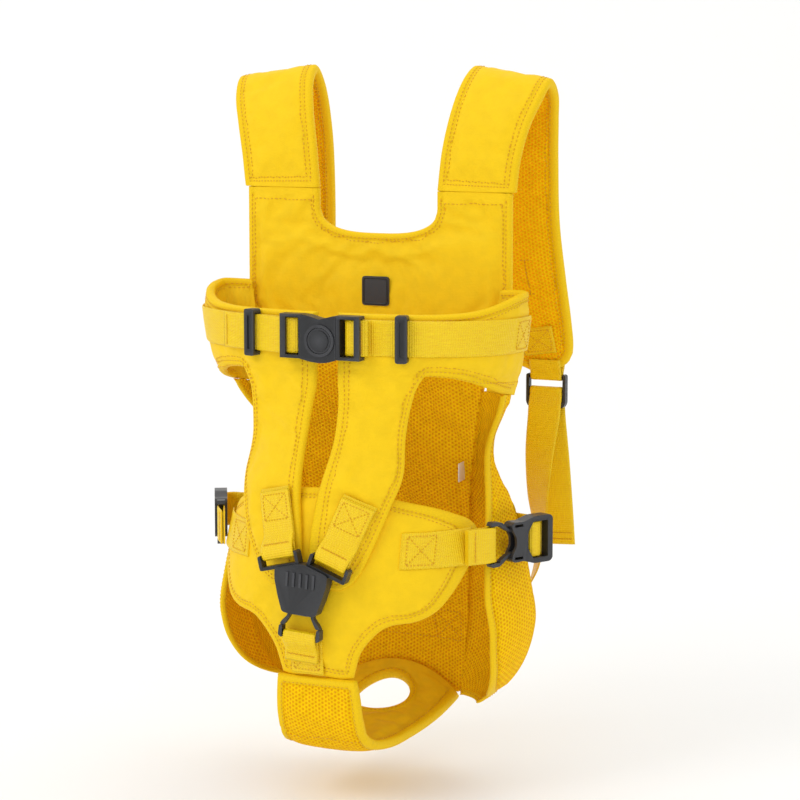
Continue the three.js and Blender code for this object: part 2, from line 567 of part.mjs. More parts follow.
// ---- Chest buckle: a housing with a round push button, and a tongue ----
const CHEST_BUCKLE_Y = CHEST_FRONT - PAD - 0.7 - HALF_THICK;
const chestFrame = new THREE.Matrix4().makeTranslation(0, CHEST_BUCKLE_Y, BAND_Z);
const FRAME_END_X = 36;
const FRAME_Z = 18.2;
const SPLIT_X = 14.7;              // where the tongue's frame meets the housing
const BUTTON_Z = -3;
const BUTTON_RADIUS = 10.5;
const BUTTON_TRAVEL = 1.8;
const CHEST_BAR_X = 23.8;
const CHEST_BAR_Y = 0.9;
function webbingFrame(direction, startX) {
  const low = Math.min(direction * startX, direction * FRAME_END_X);
  const high = Math.max(direction * startX, direction * FRAME_END_X);
  const end = direction * FRAME_END_X;
  const inner = direction * 31;
  return join(
    box(low, high, -6, HALF_THICK - 0.9, SLOT_Z, FRAME_Z),
    box(low, high, -6, HALF_THICK - 0.9, -FRAME_Z, -SLOT_Z),
    box(Math.min(inner, end), Math.max(inner, end), -6, -2.9, -FRAME_Z, FRAME_Z),
    rod(direction * CHEST_BAR_X, CHEST_BAR_Y, SLOT_Z + 1),
    box(Math.min(direction * startX, direction * 18.4), Math.max(direction * startX, direction * 18.4),
      -6, HALF_THICK - 0.9, -FRAME_Z, FRAME_Z),
  );
}
const housingOutline = [[-19, FRAME_Z], [-12, FRAME_Z - 0.6], [0, 14.6], [12, FRAME_Z - 0.6],
  [SPLIT_X, FRAME_Z - 0.3], [SPLIT_X, -FRAME_Z - 0.2], [8, -20.6], [0, -21.4], [-8, -20.6],
  [-19, -FRAME_Z]];
const LEG_Z = 11;                  // outer edge of the tongue's legs
const LEG_TIP_X = -0.4;
const bossRadius = 4.2;
const housing = cut(
  join(plate(housingOutline, 1.6, -6, HALF_THICK), webbingFrame(-1, 17),
    disc(BUTTON_RADIUS + 3, -7, -5, 0, BUTTON_Z)),
  box(LEG_TIP_X - 1, SPLIT_X + 1, -2.2, 2.2, -LEG_Z - 0.5 + BUTTON_Z, LEG_Z + 0.5 + BUTTON_Z),
  disc(BUTTON_RADIUS + 0.4, -8, -2.1, 0, BUTTON_Z),
  disc(bossRadius + 0.4, -2.3, 4.4, 0, BUTTON_Z),
);
const button = join(
  disc(BUTTON_RADIUS, -6.6, -4.5, 0, BUTTON_Z),
  disc(BUTTON_RADIUS - 2, -7.2, -6.4, 0, BUTTON_Z),
  disc(bossRadius, -4.7, 2, 0, BUTTON_Z),
);
const tongue = join(
  webbingFrame(1, SPLIT_X + CLEAR),
  box(LEG_TIP_X, SPLIT_X + 1, -1.8, 1.8, BUTTON_Z + 6, BUTTON_Z + LEG_Z),
  box(LEG_TIP_X, SPLIT_X + 1, -1.8, 1.8, BUTTON_Z - LEG_Z, BUTTON_Z - 6),
);
add('chest_buckle_housing', housing, plastic, chestFrame);
add('chest_buckle_button', button, plastic, chestFrame);
add('chest_buckle_tongue', tongue, plastic, chestFrame);
const TONGUE_LOOP_X = CHEST_BAR_X + 17;
add('chest_tongue_loop', fold(CHEST_BAR_X, CHEST_BAR_Y, -1,
  [[TONGUE_LOOP_X, CHEST_BAR_Y + FOLD_GAP]],
  [[TONGUE_LOOP_X - 8, CHEST_BAR_Y - FOLD_GAP], [TONGUE_LOOP_X, CHEST_BAR_Y + FOLD_GAP - 2.1]]),
webbing, chestFrame);

// ---- Chest webbing: sewn round the band, held by a keeper on each side of the buckle ----
const KEEPER_LEG = 1.2;
const webbingOut = PAD + CLEAR + KEEPER_LEG + CLEAR;
function bandPoint(degrees, out) {
  return onPouch(degrees, BAND_Z, out);
}
const firstLayer = webbingOut + WEBBING_THICK / 2;
const secondLayer = firstLayer + WEBBING_THICK + 2 * CLEAR;
const aroundBand = [96, 88, 80, 72, 64, 56, 48, 41];
const underTongue = PAD + 2 * CLEAR + WEBBING_THICK / 2;
const onBand = (degrees, out) => (z) => onPouch(degrees, z, out);
const straight = (degrees, out) => (z) => onPouch(degrees, BAND_Z, out).setZ(z);
const atBuckle = (x, y) => (z) => new THREE.Vector3(x, CHEST_BUCKLE_Y + y, z);
add('chest_webbing_right', laidWebbing([
  ...aroundBand.map((degrees) => onBand(degrees, firstLayer)),
  ...[34, 28, 24, 20].map((degrees) => straight(degrees, firstLayer)),
  straight(14, underTongue), straight(9, underTongue),
], BAND_Z), webbing);
const leftTurn = steps(90, -90, 6).map((degrees) => {
  const angle = THREE.MathUtils.degToRad(degrees);
  return atBuckle(-CHEST_BAR_X + FOLD_GAP * Math.cos(angle),
    CHEST_BAR_Y + FOLD_GAP * Math.sin(angle));
});
add('chest_webbing_left', laidWebbing([
  ...aroundBand.map((degrees) => onBand(-degrees, firstLayer)),
  ...[34, 28, 24, 20.5].map((degrees) => straight(-degrees, firstLayer)),
  straight(-16, firstLayer + 0.8), atBuckle(-37, CHEST_BAR_Y + FOLD_GAP), ...leftTurn,
  atBuckle(-37, CHEST_BAR_Y - FOLD_GAP), straight(-16, secondLayer + 2.2),
  straight(-20.5, secondLayer + 0.4),
  ...[24, 29, 34, 39].map((degrees) => straight(-degrees, secondLayer)),
], BAND_Z), webbing);

// ---- Keepers: a flat ring that slides along the chest webbing ----
const KEEPER_ANGLE = 24;
const KEEPER_WIDTH = 10;
const KEEPER_DEPTH = 6.2;          // room inside for two layers of webbing
function keeperFrame(side) {
  const foot = bandPoint(side * KEEPER_ANGLE, PAD + CLEAR + KEEPER_LEG);
  const ahead = bandPoint(side * (KEEPER_ANGLE + 2), PAD + CLEAR + KEEPER_LEG);
  const behind = bandPoint(side * (KEEPER_ANGLE - 2), PAD + CLEAR + KEEPER_LEG);
  const along = side > 0 ? ahead.sub(behind) : behind.sub(ahead);
  const frame = new THREE.Matrix4().makeRotationZ(Math.atan2(along.y, along.x));
  return frame.setPosition(foot);
}
const keeper = cut(
  plate([[-KEEPER_WIDTH / 2, -19.5], [KEEPER_WIDTH / 2, -19.5], [KEEPER_WIDTH / 2, 19.5],
    [-KEEPER_WIDTH / 2, 19.5]], 2, -KEEPER_DEPTH - 2.2, KEEPER_LEG),
  box(-KEEPER_WIDTH, KEEPER_WIDTH, -KEEPER_DEPTH, 0, -SLOT_Z - 0.3, SLOT_Z + 0.3),
  box(-1.4, 1.4, -KEEPER_DEPTH - 3, -KEEPER_DEPTH - 1.3, -14, 14),
);
add('chest_keeper_right', keeper, plastic, keeperFrame(1));
add('chest_keeper_left', keeper, plastic, keeperFrame(-1));

// ---- Three-way buckle: two slanted webbing frames on a shield, with a socket below ----
const THREE_WAY_Z = -415;
const THREE_WAY_X = DRIFT + 2;
const THREE_WAY_Y = BELLY_FRONT - 14.5;
const THREE_WAY_TILT = 4;          // degrees, its right side lower
const FRAME_SLANT = 17;
const FRAME_X = 22.5;
const FRAME_UP = 25;
const threeFrame = new THREE.Matrix4()
  .makeRotationY(THREE.MathUtils.degToRad(THREE_WAY_TILT))
  .setPosition(THREE_WAY_X, THREE_WAY_Y, THREE_WAY_Z);
const FRAME_BAR_Z = 4.2;
function slantedFrame(side) {
  const ring = join(
    cut(
      plate([[-18.4, -6.5], [18.4, -6.5], [18.4, 6], [-18.4, 6]], 2, -4.2, 4.2),
      box(-SLOT_Z, SLOT_Z, -6, 6, -3.6, 7),
    ),
    rod(FRAME_BAR_Z, 0, SLOT_Z + 1).rotateY(-Math.PI / 2),
  );
  return ring.rotateY(THREE.MathUtils.degToRad(side * FRAME_SLANT))
    .translate(side * FRAME_X, 0, FRAME_UP);
}
const MOUTH_DOWN = 16;
const plugTurn = new THREE.Matrix4().makeBasis(new THREE.Vector3(0, 0, 1),
  new THREE.Vector3(0, 1, 0), new THREE.Vector3(-1, 0, 0));
plugTurn.setPosition(0, 0, -MOUTH_DOWN - MOUTH_X);
const shield = cut(
  join(
    plate([[-24, 18.5], [-21, 20.2], [-3.4, 25.6], [3.4, 25.6], [21, 20.2], [24, 18.5], [23.5, 10],
      [20, -3], [15.4, -MOUTH_DOWN], [9, -MOUTH_DOWN - 1], [-9, -MOUTH_DOWN - 1],
      [-15.4, -MOUTH_DOWN], [-20, -3], [-23.5, 10]], 2, -6.6, 4.2),
    slantedFrame(-1), slantedFrame(1),
    ...steps(-12, 12, 4).map((x) => box(x - 1.1, x + 1.1, -7.6, -6, 6, 18)),
  ),
  socketRoom.clone().applyMatrix4(plugTurn),
);
add('three_way_buckle', shield, plastic, threeFrame);
const crotchPlugFrame = threeFrame.clone().multiply(plugTurn);
add('crotch_plug', plugBody, plastic, crotchPlugFrame);
add('crotch_plug_left_prong', prong, plastic, crotchPlugFrame);
add('crotch_plug_right_prong', lowerProng, plastic, crotchPlugFrame);
const CROTCH_LOOP_X = BAR_X - 24;
add('crotch_plug_loop', fold(BAR_X, 0, 1, [[BAR_X - 6, FOLD_GAP + 0.4], [BAR_X - 13, 5.4],
  [CROTCH_LOOP_X, 7.1]], [[BAR_X - 6, -FOLD_GAP + 0.4], [BAR_X - 13, 3], [CROTCH_LOOP_X, 5]]),
webbing, crotchPlugFrame);

// ---- Webbing tab sewn on the crotch panel, below its buckle ----
const CROTCH_TAB_TOP = THREE_WAY_Z - MOUTH_DOWN - MOUTH_X + BAR_X - 5;
const CROTCH_TAB_LENGTH = 30;
add('crotch_tab', sheetBody(steps(-1, 1, 3),
  steps(CROTCH_TAB_TOP - CROTCH_TAB_LENGTH, CROTCH_TAB_TOP, 4), (u, z, w) => {
    const x = THREE_WAY_X - 1 + u * WEBBING_WIDTH / 2;
    return onFront(x, z, WALL + CLEAR + 0.3 + w * WEBBING_THICK);
  }), webbing);

// ---- Webbing tab on each flap end, folded round its frame on the three-way buckle ----
const TAB_LENGTH = 54;
function flapTab(side) {
  const slant = THREE.MathUtils.degToRad(side * FRAME_SLANT + THREE_WAY_TILT);
  const bar = new THREE.Vector3(0, 0, FRAME_BAR_Z).applyMatrix4(
    new THREE.Matrix4().makeRotationY(THREE.MathUtils.degToRad(side * FRAME_SLANT)))
    .add(new THREE.Vector3(side * FRAME_X, 0, FRAME_UP)).applyMatrix4(threeFrame);
  const right = new THREE.Vector3(Math.cos(slant), 0, -Math.sin(slant));
  const up = new THREE.Vector3(Math.sin(slant), 0, Math.cos(slant));
  // Distance up the tab and out from the bar's middle; from `settle` on it lies on the flap.
  const bend = steps(-90, 90, 6).map((degrees) => {
    const angle = THREE.MathUtils.degToRad(degrees);
    return [-FOLD_GAP * Math.cos(angle), FOLD_GAP * Math.sin(angle), 0];
  });
  const settle = (distance) => THREE.MathUtils.smoothstep(distance, 5, 18);
  const front = [52, 44, 36, 28, 20, 15, 10, 5].map((d) => [d, FOLD_GAP, 1]);
  const back = [5, 10, 15, 20, 28, 36, 44, TAB_LENGTH].map((d) => [d, -FOLD_GAP, 0]);
  const route = [...back.reverse(), ...bend, ...front.reverse()];
  return sheetBody(steps(-1, 1, 3), route.map((_, i) => i), (u, i, w) => {
    const [distance, , layer] = route[i];
    const before = route[Math.max(i - 1, 0)];
    const after = route[Math.min(i + 1, route.length - 1)];
    const run = new THREE.Vector2(after[0] - before[0], after[1] - before[1]).normalize();
    const thick = (w - 0.5) * WEBBING_THICK;
    const d = distance - run.y * thick;
    const out = route[i][1] + run.x * thick;
    const place = bar.clone().addScaledVector(up, d)
      .addScaledVector(right, u * WEBBING_WIDTH / 2);
    const z = place.z;
    const skin = beltOut(z) + beltPad(z) + CLEAR + 0.3;
    const layerOut = skin + (layer ? WEBBING_THICK * 1.5 + CLEAR : WEBBING_THICK / 2)
      + (layer ? thick : -thick);
    const lying = onFront(place.x, z, layerOut).y;
    const hanging = bar.y - out;
    place.y = THREE.MathUtils.lerp(hanging, lying, settle(distance));
    return place;
  });
}
add('flap_tab_right', flapTab(1), webbing);
add('flap_tab_left', flapTab(-1), webbing);

// ---- Ladder locks, the loops that hold them, and the shoulder webbing ----
const LOCK_X = 122.5;
const LOCK_Y = 52;
const lockFrame = new THREE.Matrix4().makeTranslation(LOCK_X, LOCK_Y, LOCK_Z);
const LOCK_TOP = 14;
const LOCK_LOOP_BAR = 11.6;
const ladderLock = join(
  cut(
    plate([[LOCK_TOP, -18.2], [LOCK_TOP, 18.2], [-11, 18.2], [-15, 16], [-15, -16], [-11, -18.2]],
      2, -3, 3),
    box(-10.4, LOCK_TOP + 1, -4, 4, -SLOT_Z, SLOT_Z),
  ),
  rod(0, 0, SLOT_Z + 1),
  rod(LOCK_LOOP_BAR, 0, SLOT_Z + 1),
);
const upward = new THREE.Matrix4().makeBasis(new THREE.Vector3(0, 0, 1),
  new THREE.Vector3(0, 1, 0), new THREE.Vector3(-1, 0, 0));
const lockTurn = lockFrame.clone().multiply(upward);
addPair('ladder_lock', ladderLock, plastic, lockTurn);
addPair('lock_loop', fold(LOCK_LOOP_BAR, 0, -1, [[LOCK_LOOP_BAR + 4, FOLD_GAP]],
  [[LOCK_LOOP_BAR + 4, -FOLD_GAP]], WEBBING_WIDTH - 1), webbing, lockTurn);

const onStrip = PANEL / 2 + 3 * CLEAR + WEBBING_THICK * 1.5 + 0.2;
const mainRoute = [
  // over the ladder lock's middle bar, down in front of its lower bar and forward to the anchor
  ...steps(0, 180, 6).map((degrees) => {
    const angle = THREE.MathUtils.degToRad(degrees);
    return [LOCK_X, LOCK_Y + FOLD_GAP * Math.cos(angle), LOCK_Z + FOLD_GAP * Math.sin(angle)];
  }),
  [LOCK_X, LOCK_Y - FOLD_GAP, LOCK_Z - 4],
  [LOCK_X, LOCK_Y - 4.8, LOCK_Z - 12],
  [LOCK_X - 0.5, LOCK_Y - 5.4, LOCK_Z - 22],
  [120, 42, -320], [122, 34, -355], [126.5, 27, -388], [125, 21.5, -418], [112, 22, -443],
  [94, 21, -462], ...[72, 62, 51].map((x) => onPanel(x, ANCHOR_Z, onStrip).toArray()),
];
const widthRoute = [
  // direction of the webbing's width at each point
  ...steps(0, 1, 6).map(() => [1, 0, 0]), [1, 0, 0], [1, 0, 0], [1, 0, 0], [0.97, -0.24, 0.03], [0.85, -0.52, 0.06],
  [0.62, -0.78, 0.1], [0.5, -0.72, 0.48], [0.56, -0.32, 0.76], [0.45, -0.1, 0.88], [0.1, 0, 1],
  [0, 0, 1], [0, 0, 1],
];
function twistedRibbon(route, widths) {
  const path = route.map(([x, y, z]) => new THREE.Vector3(x, y, z));
  return sheetBody([-1, 0, 1], path.map((_, i) => i), (u, i, w) => {
    const tangent = path[Math.min(i + 1, path.length - 1)].clone().sub(path[Math.max(i - 1, 0)]);
    const side = new THREE.Vector3(...widths[i]);
    side.addScaledVector(tangent, -side.dot(tangent) / tangent.lengthSq()).normalize();
    const normal = tangent.cross(side).normalize();
    return path[i].clone().addScaledVector(side, u * WEBBING_WIDTH / 2)
      .addScaledVector(normal, (w - 0.5) * WEBBING_THICK);
  });
}
addPair('shoulder_webbing', twistedRibbon(mainRoute, widthRoute), webbing);

const tailRoute = [[LOCK_X, LOCK_Y + FOLD_GAP, LOCK_Z - 2 * CLEAR],
  [LOCK_X, LOCK_Y + FOLD_GAP, LOCK_Z - 4], [LOCK_X, LOCK_Y + 4.8, LOCK_Z - 12],
  [LOCK_X + 0.5, LOCK_Y + 6, LOCK_Z - 25], [LOCK_X + 3, LOCK_Y + 10, -330],
  [LOCK_X + 6, LOCK_Y + 14, -385], [LOCK_X + 7, LOCK_Y + 15, -405]];
addPair('webbing_tail', twistedRibbon(tailRoute, tailRoute.map(() => [1, 0, 0])), webbing);

export default vest;
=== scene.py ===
"""Front carrier vest: padded nylon, spacer mesh, strap webbing and moulded buckles."""
import math

import bmesh
import bpy
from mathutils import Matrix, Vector
from mathutils.bvhtree import BVHTree
from mathutils.geometry import delaunay_2d_cdt


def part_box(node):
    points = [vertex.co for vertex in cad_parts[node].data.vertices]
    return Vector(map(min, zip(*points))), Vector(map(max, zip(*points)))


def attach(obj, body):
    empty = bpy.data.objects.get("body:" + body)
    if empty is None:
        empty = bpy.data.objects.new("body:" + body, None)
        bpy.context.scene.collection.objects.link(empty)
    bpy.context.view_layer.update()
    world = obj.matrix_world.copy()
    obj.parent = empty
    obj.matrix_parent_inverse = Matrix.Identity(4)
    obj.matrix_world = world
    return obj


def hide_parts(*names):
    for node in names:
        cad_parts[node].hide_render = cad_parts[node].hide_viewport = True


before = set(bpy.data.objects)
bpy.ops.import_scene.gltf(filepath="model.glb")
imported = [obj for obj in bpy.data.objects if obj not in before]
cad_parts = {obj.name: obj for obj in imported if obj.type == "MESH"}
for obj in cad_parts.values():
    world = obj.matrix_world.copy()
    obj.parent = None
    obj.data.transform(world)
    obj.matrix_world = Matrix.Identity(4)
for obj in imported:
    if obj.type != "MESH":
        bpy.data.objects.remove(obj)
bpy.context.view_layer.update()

bl_info = {
    "name": "Front carrier vest",
    "version": (1, 0, 0),
    "blender": (4, 5, 0),
    "location": "View3D > Sidebar > Vest",
    "description": "Sews the fabric, webbing and trim of a front carrier vest onto its frame",
    "category": "Object",
}

MM = 0.001


# ---- Shape of the vest, in millimetres ----
def profile(keys):
    """A smooth curve through (place, value) pairs."""
    slopes = []
    for i in range(len(keys)):
        before, after = keys[max(i - 1, 0)], keys[min(i + 1, len(keys) - 1)]
        slopes.append((after[1] - before[1]) / (after[0] - before[0]))

    def value(place):
        at = min(max(place, keys[0][0]), keys[-1][0])
        i = 0
        while i < len(keys) - 2 and at > keys[i + 1][0]:
            i += 1
        span = keys[i + 1][0] - keys[i][0]
        s = (at - keys[i][0]) / span
        rise = (3 - 2 * s) * s * s
        lean = (s - 1) ** 2 * s * span * slopes[i] + (s - 1) * s * s * span * slopes[i + 1]
        return keys[i][1] + rise * (keys[i + 1][1] - keys[i][1]) + lean
    return value


def steps(low, high, count):
    return [low + (high - low) * i / count for i in range(count + 1)]


def mix(a, b, t):
    return a + (b - a) * t


def clamp(value):
    return min(max(value, 0), 1)


def eased(t):
    return t * t * (3 - 2 * t)


def dense(path, count):
    """Evenly spaced points along a path of (x, y) corners."""
    line = []
    for (x0, y0), (x1, y1) in zip(path, path[1:]):
        line += [(mix(x0, x1, t / count), mix(y0, y1, t / count)) for t in range(count + 1)]
    return line


def new_object(name, positions, faces, *materials):
    """A smooth-shaded mesh in the scene, from points in metres."""
    mesh = bpy.data.meshes.new(name)
    mesh.from_pydata(positions, [], faces)
    for material in materials:
        mesh.materials.append(material)
    for polygon in mesh.polygons:
        polygon.use_smooth = True
    obj = bpy.data.objects.new(name, mesh)
    bpy.context.scene.collection.objects.link(obj)
    return obj


WEBBING = 30.0
WEBBING_THICK = 1.6
PAD = 9.0
PANEL = 8.0
WALL = 5.0
YOKE_Y = -32.0
BAND_Z = -205.0
SIDE_STRAP_Z = -379.0
ANCHOR_Z = -474.0
SQUARENESS = 0.85

half_width = profile([(-545, 72), (-505, 116), (-460, 133), (-422, 129), (-360, 115), (-311, 99),
                      (-262, 121), (BAND_Z, 134), (-160, 138)])
widest_y = profile([(-545, -28), (-460, -19), (-360, -18), (-311, -24), (-250, -47), (BAND_Z, -54),
                    (-160, -54)])
front_y = profile([(-545, -143), (-505, -150), (-460, -155), (-422, -155), (-360, -147),
                   (-311, -138), (-250, -130), (BAND_Z, -128), (-160, -126)])
back_y = profile([(-545, 14), (-460, 14), (-422, 8), (-360, -6), (-311, -18), (-250, -33),
                  (BAND_Z, -36), (-160, -36)])
panel_y = profile([(-545, 20), (-505, 20), (-460, 18), (-422, 12), (-360, -2), (-311, -14),
                   (-250, -29), (-213, YOKE_Y)])
panel_half = profile([(-545, 60), (ANCHOR_Z, 66), (-400, 72), (-330, 81), (-262, 96), (-213, 112)])


def pouch(degrees, z, out=0.0):
    """Point on the pouch at an angle from the front, pushed out by a distance."""
    angle = math.radians(degrees)
    sine, cosine = math.sin(angle), math.cos(angle)
    depth = (widest_y(z) - front_y(z) if cosine > 0 else back_y(z) - widest_y(z)) + out
    return Vector((
        (half_width(z) + out) * math.copysign(abs(sine) ** SQUARENESS, sine),
        widest_y(z) - depth * math.copysign(abs(cosine) ** SQUARENESS, cosine), z))


def angle_at(x, z):
    """Angle from the front at which the pouch reaches a given X."""
    share = min(abs(x) / half_width(z), 0.9995)
    return math.copysign(math.degrees(math.asin(share ** (1 / SQUARENESS))), x)


def front(x, z, out=0.0):
    share = min(abs(x) / (half_width(z) + out), 0.999)
    sine = share ** (1 / SQUARENESS)
    depth = widest_y(z) - front_y(z) + out
    return Vector((x, widest_y(z) - depth * math.sqrt(1 - sine * sine) ** SQUARENESS, z))


def panel(x, z, out=0.0):
    share = x / panel_half(z)
    return Vector((x, panel_y(z) - 6 * share * share + out, z))


def seam_angle(z):
    share = min((panel_half(z) + 0.6) / half_width(z), 0.98)
    return 180 - math.degrees(math.asin(share ** (1 / SQUARENESS)))


# ---- Materials ----
def linear(colour):
    """A colour picked as sRGB hex, as the shader wants it."""
    parts = [int(colour[i:i + 2], 16) / 255 for i in (1, 3, 5)]
    return [c / 12.92 if c <= 0.04045 else ((c + 0.055) / 1.055) ** 2.4 for c in parts] + [1.0]


def node(tree, kind, inputs=None, **settings):
    """Adds one shader node; inputs are plain values or another node's socket."""
    made = tree.nodes.new(kind)
    for key, value in settings.items():
        setattr(made, key, value)
    for key, value in (inputs or {}).items():
        if isinstance(value, bpy.types.NodeSocket):
            tree.links.new(value, made.inputs[key])
        else:
            made.inputs[key].default_value = value
    return made


def surface(name, roughness, **extra):
    material = bpy.data.materials.new(name)
    material.use_nodes = True
    tree = material.node_tree
    shader = tree.nodes["Principled BSDF"]
    shader.inputs["Roughness"].default_value = roughness
    for key, value in extra.items():
        shader.inputs[key.replace("_", " ")].default_value = value
    return material, tree, shader


def millimetres(tree):
    """Pattern coordinates of a cut piece: one unit is one millimetre."""
    return node(tree, "ShaderNodeUVMap", uv_map="cut").outputs["UV"]


def scaled(tree, vector, size):
    return node(tree, "ShaderNodeVectorMath", {0: vector, 1: (1 / size, 1 / size, 1 / size)},
                operation="MULTIPLY").outputs["Vector"]


def ramp(tree, factor, stops):
    made = node(tree, "ShaderNodeValToRGB", {"Fac": factor})
    elements = made.color_ramp.elements
    while len(elements) < len(stops):
        elements.new(0.5)
    for element, (place, colour) in zip(elements, stops):
        element.position = place
        element.color = colour
    return made.outputs["Color"]


def blend(tree, factor, first, second, mode="MIX"):
    made = node(tree, "ShaderNodeMix", data_type="RGBA", blend_type=mode)
    for socket, value in ((made.inputs[0], factor), (made.inputs[6], first), (made.inputs[7], second)):
        if isinstance(value, bpy.types.NodeSocket):
            tree.links.new(value, socket)
        else:
            socket.default_value = value
    return made.outputs[2]


def maths(tree, operation, first, second=0.0):
    return node(tree, "ShaderNodeMath", {0: first, 1: second}, operation=operation).outputs[0]


def waves(tree, vector, directions, spacing):
    """Sum of plane waves, one for each direction, in pattern coordinates."""
    total = None
    for x, y in directions:
        turn = 2 * math.pi / spacing
        along = node(tree, "ShaderNodeVectorMath", {0: vector, 1: (x * turn, y * turn, 0)},
                     operation="DOT_PRODUCT").outputs["Value"]
        wave = maths(tree, "COSINE", along)
        total = wave if total is None else maths(tree, "ADD", total, wave)
    return total


def bumped(tree, shader, height, distance, strength=1.0):
    made = node(tree, "ShaderNodeBump", {"Height": height, "Distance": distance, "Strength": strength})
    tree.links.new(made.outputs["Normal"], shader.inputs["Normal"])


def nylon_cloth(name, light, dark):
    # Dense woven nylon over foam: an even, slightly lustrous face, with faint cloudy
    # creases. The threads are 0.4 mm apart, drawn at 1.3 mm so that they show.
    material, tree, shader = surface(name, 0.68, Sheen_Weight=0.04, Specular_IOR_Level=0.28)
    place = millimetres(tree)
    cloud = node(tree, "ShaderNodeTexNoise", {"Vector": scaled(tree, place, 55), "Detail": 2.0})
    tint = ramp(tree, cloud.outputs["Fac"], [(0.3, dark), (0.62, light)])
    tree.links.new(tint, shader.inputs["Base Color"])
    weave = waves(tree, place, [(1, 0), (0, 1)], 1.3)
    crease = node(tree, "ShaderNodeTexNoise", {"Vector": scaled(tree, place, 11), "Detail": 3.0})
    height = maths(tree, "ADD", maths(tree, "MULTIPLY", weave, 0.035),
                   maths(tree, "MULTIPLY", crease.outputs["Fac"], 0.6))
    bumped(tree, shader, height, 0.0011, 0.4)
    return material


def spacer_mesh(name, rib, hole):
    # Knitted spacer fabric: soft ribs round rows of small eyelets. The deeper colour inside
    # each eyelet is painted shade for the hollow of the hole. The eyelets are 3.4 mm apart.
    material, tree, shader = surface(name, 0.9, Specular_IOR_Level=0.15)
    place = millimetres(tree)
    lattice = waves(tree, place, [(1, 0), (0.5, 0.866), (0.5, -0.866)], 2.95)
    open_share = maths(tree, "MULTIPLY", maths(tree, "ADD", lattice, 1.5), 1 / 4.5)
    cloud = node(tree, "ShaderNodeTexNoise", {"Vector": scaled(tree, place, 34), "Detail": 3.0})
    shade = ramp(tree, cloud.outputs["Fac"], [(0.3, linear("#EBE6DC")), (0.65, linear("#FFFFFF"))])
    # Painted shade: the hole colour fills the eyelets, where the mesh is hollow and lies in shade.
    tint = ramp(tree, open_share, [(0.25, rib), (0.72, hole)])
    tree.links.new(blend(tree, 0.6, tint, shade, "MULTIPLY"), shader.inputs["Base Color"])
    bumped(tree, shader, maths(tree, "MULTIPLY", open_share, -1.0), 0.0009, 0.8)
    return material


def strap_webbing(name, light, dark):
    # Woven polyester webbing: bright and a little glossy, ribbed across its width every
    # 1.9 mm, with a raised selvedge along each edge. Long light and dark streaks along it are painted
    # sheen.
    material, tree, shader = surface(name, 0.46, Specular_IOR_Level=0.4)
    place = millimetres(tree)
    rib = waves(tree, place, [(1, 0)], 1.9)
    thread = waves(tree, place, [(0.5, 1)], 2.4)
    # Painted sheen: noise stretched along the strap into long light and dark streaks.
    painted_sheen_streaks = node(tree, "ShaderNodeVectorMath", {0: place, 1: (1 / 60, 1 / 3, 1)}, operation="MULTIPLY")
    cloud = node(tree, "ShaderNodeTexNoise", {"Vector": painted_sheen_streaks.outputs["Vector"], "Detail": 2.0})
    share = maths(tree, "ADD", maths(tree, "MULTIPLY", rib, 0.06), cloud.outputs["Fac"])
    tree.links.new(ramp(tree, share, [(0.2, dark), (0.62, light)]), shader.inputs["Base Color"])
    height = maths(tree, "ADD", rib, maths(tree, "MULTIPLY", thread, 0.5))
    bumped(tree, shader, height, 0.00022, 0.7)
    return material


def binding_tape(name, light, dark):
    # Folded binding tape: a fine lengthwise rib. Its tone, a little deeper than the cloth it edges, is
    # painted shade along the bound edges.
    material, tree, shader = surface(name, 0.66, Specular_IOR_Level=0.25)
    place = millimetres(tree)
    cloud = node(tree, "ShaderNodeTexNoise", {"Vector": scaled(tree, place, 6), "Detail": 3.0})
    tree.links.new(ramp(tree, cloud.outputs["Fac"], [(0.3, dark), (0.7, light)]),
                   shader.inputs["Base Color"])
    bumped(tree, shader, cloud.outputs["Fac"], 0.0006, 0.6)
    return material


def sewing_thread(name, colour):
    # Twisted polyester thread, slightly glossy.
    material, tree, shader = surface(name, 0.45)
    shader.inputs["Base Color"].default_value = colour
    place = node(tree, "ShaderNodeTexCoord").outputs["Object"]
    twist = node(tree, "ShaderNodeTexNoise", {"Vector": place, "Scale": 1400.0})
    bumped(tree, shader, twist.outputs["Fac"], 0.0002, 0.5)
    return material


def moulded_acetal(name, light, dark):
    # Injection-moulded acetal: near black, satin, with a fine spark-eroded grain and
    # edges that are faintly lighter, a painted highlight along the sharp convex edges.
    material, tree, shader = surface(name, 0.38, IOR=1.48)
    place = node(tree, "ShaderNodeTexCoord").outputs["Object"]
    grain = node(tree, "ShaderNodeTexNoise", {"Vector": place, "Scale": 1500.0, "Detail": 2.0})
    cloud = node(tree, "ShaderNodeTexNoise", {"Vector": place, "Scale": 60.0, "Detail": 3.0})
    # Painted highlight: convex edges, picked by pointiness, blend towards a lighter grey.
    edge_highlight_mask = node(tree, "ShaderNodeNewGeometry").outputs["Pointiness"]
    edge = ramp(tree, edge_highlight_mask, [(0.52, linear("#000000")), (0.62, linear("#FFFFFF"))])
    base = ramp(tree, cloud.outputs["Fac"], [(0.3, dark), (0.7, light)])
    tree.links.new(blend(tree, maths(tree, "MULTIPLY", edge, 0.35), base, linear("#5A5B60")),
                   shader.inputs["Base Color"])
    bumped(tree, shader, grain.outputs["Fac"], 0.0001, 0.5)
    return material


def label_tape(name, colour):
    # Smooth satin tape with a fine crosswise rib.
    material, tree, shader = surface(name, 0.5)
    shader.inputs["Base Color"].default_value = colour
    place = node(tree, "ShaderNodeTexCoord").outputs["Object"]
    rib = node(tree, "ShaderNodeTexWave", {"Vector": place, "Scale": 420.0})
    bumped(tree, shader, rib.outputs["Fac"], 0.0001, 0.4)
    return material


MATERIALS = {}


# ---- Cutting and padding fabric ----
SHARP_TURN = math.radians(50)    # a turn of the outline that stays a corner
SOFT_TURN = 0.7                  # a turn, in radians, that softened() may round


